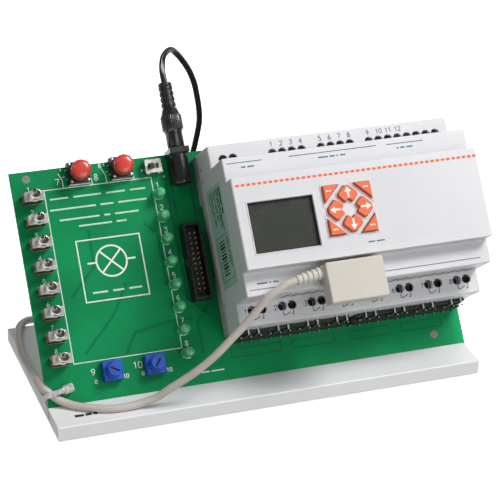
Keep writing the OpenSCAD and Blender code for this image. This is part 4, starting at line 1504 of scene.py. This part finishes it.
@dataclass
class PlcHousing:
    """Stepped grey housing, its print, its side label and its terminal openings."""

    width: float = 126.0
    height: float = 90.0
    terminal_w: float = 29.0
    shoulder_w: float = 48.5
    panel_w: float = 56.6
    terminal_step: float = 11.2
    panel_step: float = 22.8
    depth: float = 7.5

    def raised(self, level: float, thick: float = 0.05) -> tuple[float, float]:
        """Low and high faces of print that lies on a level."""
        return level - 0.03, level + thick

    def dashes(self) -> Surface:
        """A dotted orange line across the panel: rounded dashes 2.77 apart."""
        low, high = self.raised(self.panel_w)
        dash = slab(rounded(1.95, 1.25, 0.5, 3), low, high)
        return ground([dash.moved(2.7 + 2.77 * k, 63.1) for k in range(45)])

    def contact(self, u: float, low: float, high: float) -> list[Surface]:
        """A relay contact below a pair of terminals."""
        w = 0.42
        return [stroke([(u - 0.1, 4.9), (u + 0.1, 3.0), (u + 1.2, 3.0), (u + 3.6, 4.2)], w, low,
                       high),
                stroke([(u + 5.3, 4.9), (u + 5.1, 3.0), (u + 4.1, 3.0)], w, low, high)]

    def lines(self) -> Surface:
        """Slate print: terminal numbers, contacts and rules."""
        out = []
        low, high = self.raised(self.terminal_w)
        for k in range(8):
            out += self.contact(LOWER_TERMINALS[2 * k], low, high)
            out.append(number(str(k + 1), LOWER_TERMINALS[2 * k] - 4.1, 6.0, 2.3, 0.36, low, high))
        for k in range(4):
            for first, left, width in ((0, 0.7, 0.36), (4, 0.7, 0.36), (8, 0.9, 0.34)):
                out.append(number(str(first + k + 1), UPPER_TERMINALS[first + k + 2] - left,
                                  85.9, 2.2, width, low, high))
        low, high = self.raised(self.shoulder_w)
        rules = [((2, 75.8), (20, 75.8)), ((33.5, 75.8), (78.5, 75.8)), ((84, 75.6),
                 (103.2, 75.6)), ((2, 14.3), (30, 14.3)), ((70, 14.3), (120.5, 14.3))]
        out += [stroke(line, 0.4, low, high) for line in rules]
        out += [bars(u, 73.4, lengths, 0.7, low, high, 0.9)
                for u, lengths in ((9, (2.2, 3.4)), (48, (5.2, 2.6, 0.9, 2.8)),
                                   (89, (1.0, 2.2, 3.4)))]
        out += [bars(6, 17.0, (5.2, 0.9, 2.8), 0.7, low, high, 0.9)]
        low, high = self.raised(self.panel_w)
        out += [bars(62, 28.2, (3.4, 4.2), 0.6, low, high, 0.8)]
        return ground(out)

    def side(self) -> Place:
        """Frame of the left side: x down the slope from the top, y out of the board."""
        u, v, w = BOARD.axes
        return Place(BOARD.origin, (tuple(-x for x in v), w, tuple(-x for x in u)))

    def label(self) -> tuple[Surface, Surface]:
        """Side label: a rounded patch and plain bars in place of its print.

        Returns:
            The patch and the bars, in metres.
        """
        at = self.side()
        patch = slab(rounded(49.5, 24.4, 1.0), -0.03, 0.07).moved(-45.3, 26.7).put(at)
        rows = [bars(-68 + dx, y, lengths, h, 0.05, 0.12, 1.0) for dx, y, lengths, h in (
            (0, 36.0, (9, 3), 1.9), (0, 33.2, (4, 6, 3, 5), 0.85), (0, 31.6, (7, 4, 5), 0.85),
            (0, 30.0, (3, 5, 6, 2), 0.85), (0, 27.4, (6, 4, 2.5), 0.5),
            (0, 25.8, (5, 5, 3), 0.85), (0, 22.2, (8, 3, 4), 0.85), (0, 20.6, (4, 7, 2), 0.5),
            (0, 18.0, (6, 3), 0.5), (24, 36.4, (6, 8), 0.5), (24, 34.8, (4, 3, 6), 0.5),
            (24, 33.2, (7, 5), 0.5), (24, 17.2, (8, 4, 5), 0.5))]
        rows += [stroke([(-43 + 1.6 * k, 21), (-43 + 1.6 * k, 29.5)], 0.6 + 0.3 * (k % 3),
                        0.05, 0.12) for k in range(11)]
        boxes = [stroke([(x, 16.2), (x, 37.4)], 0.25, 0.05, 0.12) for x in (-45.6, -24.2)]
        return patch, joined(rows + boxes).put(at)

    def vents(self) -> Surface:
        """Slanted slits in the lower riser and short ones in the left side, as dark sheets of
        painted shade.
        """
        u, v, w = BOARD.axes
        riser = Place(BOARD.origin, (u, w, tuple(-x for x in v)))
        z = -self.terminal_step
        slit = slab([(0, 31.8), (2.1, 31.8), (4.5, 38.2), (2.4, 38.2)], z - 0.3, z + 0.03)
        slits = [slit.moved(21 + 5.08 * k).put(riser) for k in range(20)]
        at = self.side()
        slits += [stroke([(x, 11.0), (x, 12.6)], 0.6, -0.3, 0.03).put(at)
                  for x in (-82, -76, -14, -8)]
        return joined(slits)

    def screws(self) -> None:
        """Builds the crossed screw heads at the bottom of the terminal openings, coloured near
        black as painted shade.
        """
        head = lathe([(1.3, 24.6), (1.55, 24.9), (1.55, 25.2), (1.3, 25.45)], 20)
        cross = [block((-1.2, 1.2), (-0.22, 0.22), (25.3, 25.5)),
                 block((-0.22, 0.22), (-1.2, 1.2), (25.3, 25.5))]
        spots = [(u, self.depth) for u in LOWER_TERMINALS]
        spots += [(u, self.height - self.depth) for u in UPPER_TERMINALS]
        heads = ground([head.moved(u, v) for u, v in spots])
        slots = ground([c.moved(u, v) for u, v in spots for c in cross])
        build("terminal_screw_heads", heads, SCREW_PAINTED_SHADE,
              nodes=["plc_terminal_screws"])
        # painted shade: dark crosses in the screw heads' slots
        build("terminal_screw_slot_shade", slots, OPENING_SHADE)

    def seams(self) -> Surface:
        """Fine joints between the housing's mouldings, as thin raised beads."""
        low, high = self.raised(self.shoulder_w, 0.03)
        step = [stroke([(0.4, v), (self.width - 0.4, v)], 0.18, low, high)
                for v in (self.panel_step - 0.5, self.height - self.panel_step + 0.5)]
        return ground(step)

    def build(self) -> None:
        """Builds the housing and everything printed on it."""
        softened("plc_front_cover", HOUSING, 0.8, 3, long_edges=7.6)
        softened("plc_rear_housing", HOUSING_REAR, 0.4, 2, long_edges=20)
        softened("din_clip", ORANGE, 0.2)
        build("panel_dashes", self.dashes(), DASH)
        build("terminal_print", self.lines(), SLATE)
        patch, rows = self.label()
        build("side_label", patch, LABEL)
        build("side_label_bars", rows, INK)
        # the vent slits are dark sheets of painted shade
        build("vent_slit_shade", self.vents(), OPENING_SHADE)
        build("step_seams", self.seams(), HOUSING_REAR)
        self.screws()


@dataclass
class PlcDisplay:
    """Dark screen behind a clear cover, with painted shade along its top and right sides."""

    window: tuple[float, float, float, float] = (5.9, 29.8, 32.7, 24.7)
    front: float = 54.5
    overlap: float = 1.3
    lip: tuple[float, float] = (56.4, 56.85)

    def build(self) -> None:
        """Builds the screen, its painted shade bands and the lip round the opening."""
        softened("plc_display_window", SCREEN, 0.2)
        dress("plc_display_module", BEZEL_AND_PAINTED_SHADE)
        u, v, w, h = self.window
        low, high = self.front - 0.04, self.front + 0.06
        past, right, top = self.overlap, u + w, v + h
        # painted shade: dark sheets along the top and right of the screen, where the opening's
        # walls shade it
        painted_shade_bands = [slab(corners(u - past, right + past, top - 3.4, top + past), low, high),
                 slab(corners(right - 2.4, right + past, v - past, top - 3.5), low, high)]
        build("screen_painted_shade", ground(painted_shade_bands), BEZEL_AND_PAINTED_SHADE)
        lip = stroke(corners(u - 0.35, right + 0.35, v - 0.35, top + 0.35), 0.6, *self.lip,
                     True)
        build("screen_lip", ground([lip]), HOUSING, bevel=0.12)


@dataclass
class PlcKeypad:
    """Four arrow keys round four corner keys, each in a raised rim."""

    middle: tuple[float, float] = (55.8, 45.3)
    face: float = 58.6
    panel: float = 56.6
    arrow_key: tuple = ((-1.3, 4), (-4.8, 0.6), (-4.8, -0.7), (-2.2, -3.7), (-1.5, -3.7),
                        (0, -2.3), (1.5, -3.7), (2.2, -3.7), (4.8, -0.7), (4.8, 0.6), (1.3, 4))
    corner_key: tuple = ((4.1, 11.9), (12.1, 3.9), (12.1, 11.9))

    def arrow(self) -> Surface:
        """Printed arrow pointing along y."""
        low, high = self.face - 0.03, self.face + 0.04
        head = slab([(-1.75, 0.9), (1.75, 0.9), (0, 3.4)], low, high)
        return joined([head, stroke([(0, -1.9), (0, 1.0)], 1.0, low, high)])

    def build(self) -> None:
        """Builds keys, prints and rims."""
        arrows = ("key_up", "key_right", "key_down", "key_left")
        corners = ("key_top_right", "key_bottom_right", "key_bottom_left", "key_top_left")
        rims = []
        centre = BOARD.at(*self.middle)
        for k, (arrow, corner) in enumerate(zip(arrows, corners)):
            at = centre.turned(-90 * k)
            softened(arrow, ORANGE, 0.42, 3)
            softened(corner, ORANGE, 0.42, 3)
            build(arrow + "_print", self.arrow().put(at.at(0, 7.1)), ARROW,
                  body=arrow)
            mark = bars(-1.3, 0, (1.1, 0.9), 0.75, self.face - 0.03, self.face + 0.04, 0.35)
            spot = np.array([[9.4, 9.4]]) @ [[math.cos(math.pi * k / 2), -math.sin(
                math.pi * k / 2)], [math.sin(math.pi * k / 2), math.cos(math.pi * k / 2)]]
            build(corner + "_mark", mark.put(centre.at(*spot[0])), ARROW,
                  body=corner)
            low, high = self.panel - 0.1, self.panel + 0.38
            wide = self.grown(self.arrow_key, 0.62)
            rims += [stroke(wide, 0.55, low, high, True).put(at.at(0, 7.1)),
                     stroke(self.grown(self.corner_key, 0.62), 0.55, low, high, True).put(at)]
        build("key_rims", joined(rims), HOUSING, bevel=0.12)
        dress("plc_key_mat", ORANGE)

    def grown(self, outline: Sequence[tuple[float, float]], by: float) -> Array:
        """Pushes an outline outwards: p + by (n1 + n2) / (1 + n1 . n2) at each corner."""
        p = np.array(outline, float)
        ahead = unit(np.roll(p, -1, 0) - p)
        area = np.sum(p[:, 0] * np.roll(p[:, 1], -1) - p[:, 1] * np.roll(p[:, 0], -1))
        normal = np.stack([ahead[:, 1], -ahead[:, 0]], 1) * np.sign(area)
        before = np.roll(normal, 1, 0)
        return p + by * (normal + before) / (1 + np.sum(normal * before, 1))[:, None]


@dataclass
class PlcInsides:
    """Boards, relays and clamps inside the housing."""

    def build(self) -> None:
        """Dresses the parts that show only when the housing is taken apart."""
        for node, finish in (("plc_cpu_board", BARE_BOARD), ("plc_io_board", BARE_BOARD),
                             ("plc_relays", RELAY), ("plc_power_parts", SLEEVE),
                             ("plc_terminal_clamps", STEEL), ("plc_port_socket", BLACK)):
            dress(node, finish)


@dataclass
class ProgrammingPlug:
    """Flat plug on the controller's lower step, with its ribbed relief."""

    at: tuple[float, float, float] = (37.6, 1.3, 48.6)
    size: tuple[float, float, float] = (29.4, 19.8, 10.0)
    relief_at: tuple[float, float, float] = (38.1, 17.4, 53.0)
    turn: float = 8.0

    def build(self) -> dict[str, list[Object]]:
        """Builds the plug and its relief.

        Returns:
            Its pieces, which go with the programming lead.
        """
        (u, v, w), (a, b, c) = self.at, self.size
        shell = slab(rounded(a, b, 1.3, 6), w, w + c).moved(u + a / 2, v + b / 2)
        tongue = block((47, 57), (15.5, 18.5), (40.6, 49.6))
        body = build("programming_plug_shell", ground([shell]), PALE_PLUG,
                     nodes=["programming_plug"], bevel=0.9)
        body.modifiers["rounded_edges"].segments = 4
        seam = np.array(rounded(a - 0.08, b - 0.08, 1.3, 6))
        parting = swept(np.column_stack([seam, np.full(len(seam), w + 4.6)]),
                        circle(0.13, 8), closed=True).moved(u + a / 2, v + b / 2)
        seam_bead = build("programming_plug_seam", ground([parting]), HOUSING_REAR)
        inner = build("programming_plug_tongue", ground([tongue]), BLACK,
                      bevel=0.2)
        ux, vx, wx = (np.array(axis) for axis in BOARD.axes)
        t = math.radians(self.turn)
        along = -ux * math.cos(t) - vx * math.sin(t)
        side = np.cross(wx, along)
        place = Place(BOARD.at(*self.relief_at).origin,
                      (tuple(side), tuple(np.cross(along, side)), tuple(along)))
        relief = lathe([(3.0, -1.0), (3.25, 0.0), (3.25, 1.1),
                        *ribbed(3.2, 2.35, 1.2, 14.0, 5, 0.55), (2.2, 14.3), (1.95, 14.6)], 36)
        sleeve = build("programming_plug_relief", relief.put(place), PALE_PLUG,
                       angle=30)
        return {"programming": [body, seam_bead, inner, sleeve]}


@dataclass
class CableTie:
    """Nylon tie round the cable and the board's left edge."""

    at: tuple[float, float] = (-82.2, -13.4)
    turn: float = 12.0
    far: float = -12.6
    back: float = -2.7
    strap: tuple[float, float] = (2.5, 1.0)

    def build(self) -> dict[str, list[Object]]:
        """Builds the strap as one loop and the head with its pawl slot.

        Returns:
            Its pieces, which go with the programming lead.
        """
        place = BOARD.at(*self.at).turned(self.turn)
        x0, x1, z0, z1, r = self.far + 0.5, 0.4, self.back + 0.5, 5.5, 1.0
        outline = np.array(rounded(x1 - x0, z1 - z0, r, 6)) + [(x0 + x1) / 2, (z0 + z1) / 2]
        path = np.column_stack([outline[:, 0], np.zeros(len(outline)), outline[:, 1]])
        w, t = self.strap
        section = np.array(rounded(w, t * 0.9, 0.3, 3))
        across = np.tile(np.array([0.0, 1.0, 0.0]), (len(path), 1))
        loop = swept(path, section, across, closed=True)
        teeth = [block((x, x + 0.35), (-0.8, 0.8), (5.85, 6.05)) for x in
                 np.arange(self.far + 2.2, -2.8, 0.8).tolist()]
        strap = build("cable_tie_strap", ground([loop, *teeth], place), NYLON,
                      nodes=["cable_tie"], angle=50)
        head = slab(rounded(5.4, 4.2, 0.9, 5), 0.2, 5.0).moved(0.3, 0)
        pawl = block((-1.4, 1.8), (-1.35, 1.35), (4.9, 5.35))
        box = build("cable_tie_head", ground([head, pawl], place), NYLON,
                    bevel=0.35)
        return {"programming": [strap, box]}


PARTS = (BasePlate(), CircuitBoard(), RearStructure(), ToggleBank(), PushButtons(),
         SlideSwitch(), Dials(), LampColumn(), BoxHeader(), SupplyJack(), TerminalStrips(),
         PlcHousing(), PlcDisplay(), PlcKeypad(), PlcInsides(), ProgrammingPlug(), CableTie())


# ---------------------------------------------------------------- the whole stand


def main() -> None:
    """Builds every sub-assembly in order and reports each one."""
    logging.basicConfig(level=logging.INFO, format="%(name)s: %(message)s")
    LOG.info("studio")
    Studio().build()
    plugs = {"programming": [], "supply": []}
    for part in PARTS:
        made = part.build() or {}
        for cord, pieces in made.items():
            plugs[cord] += pieces
        LOG.info("built %s", type(part).__name__)
    ProgrammingLead().build(plugs["programming"])
    SupplyLead().build(plugs["supply"])


if __name__ == "__main__":
    main()
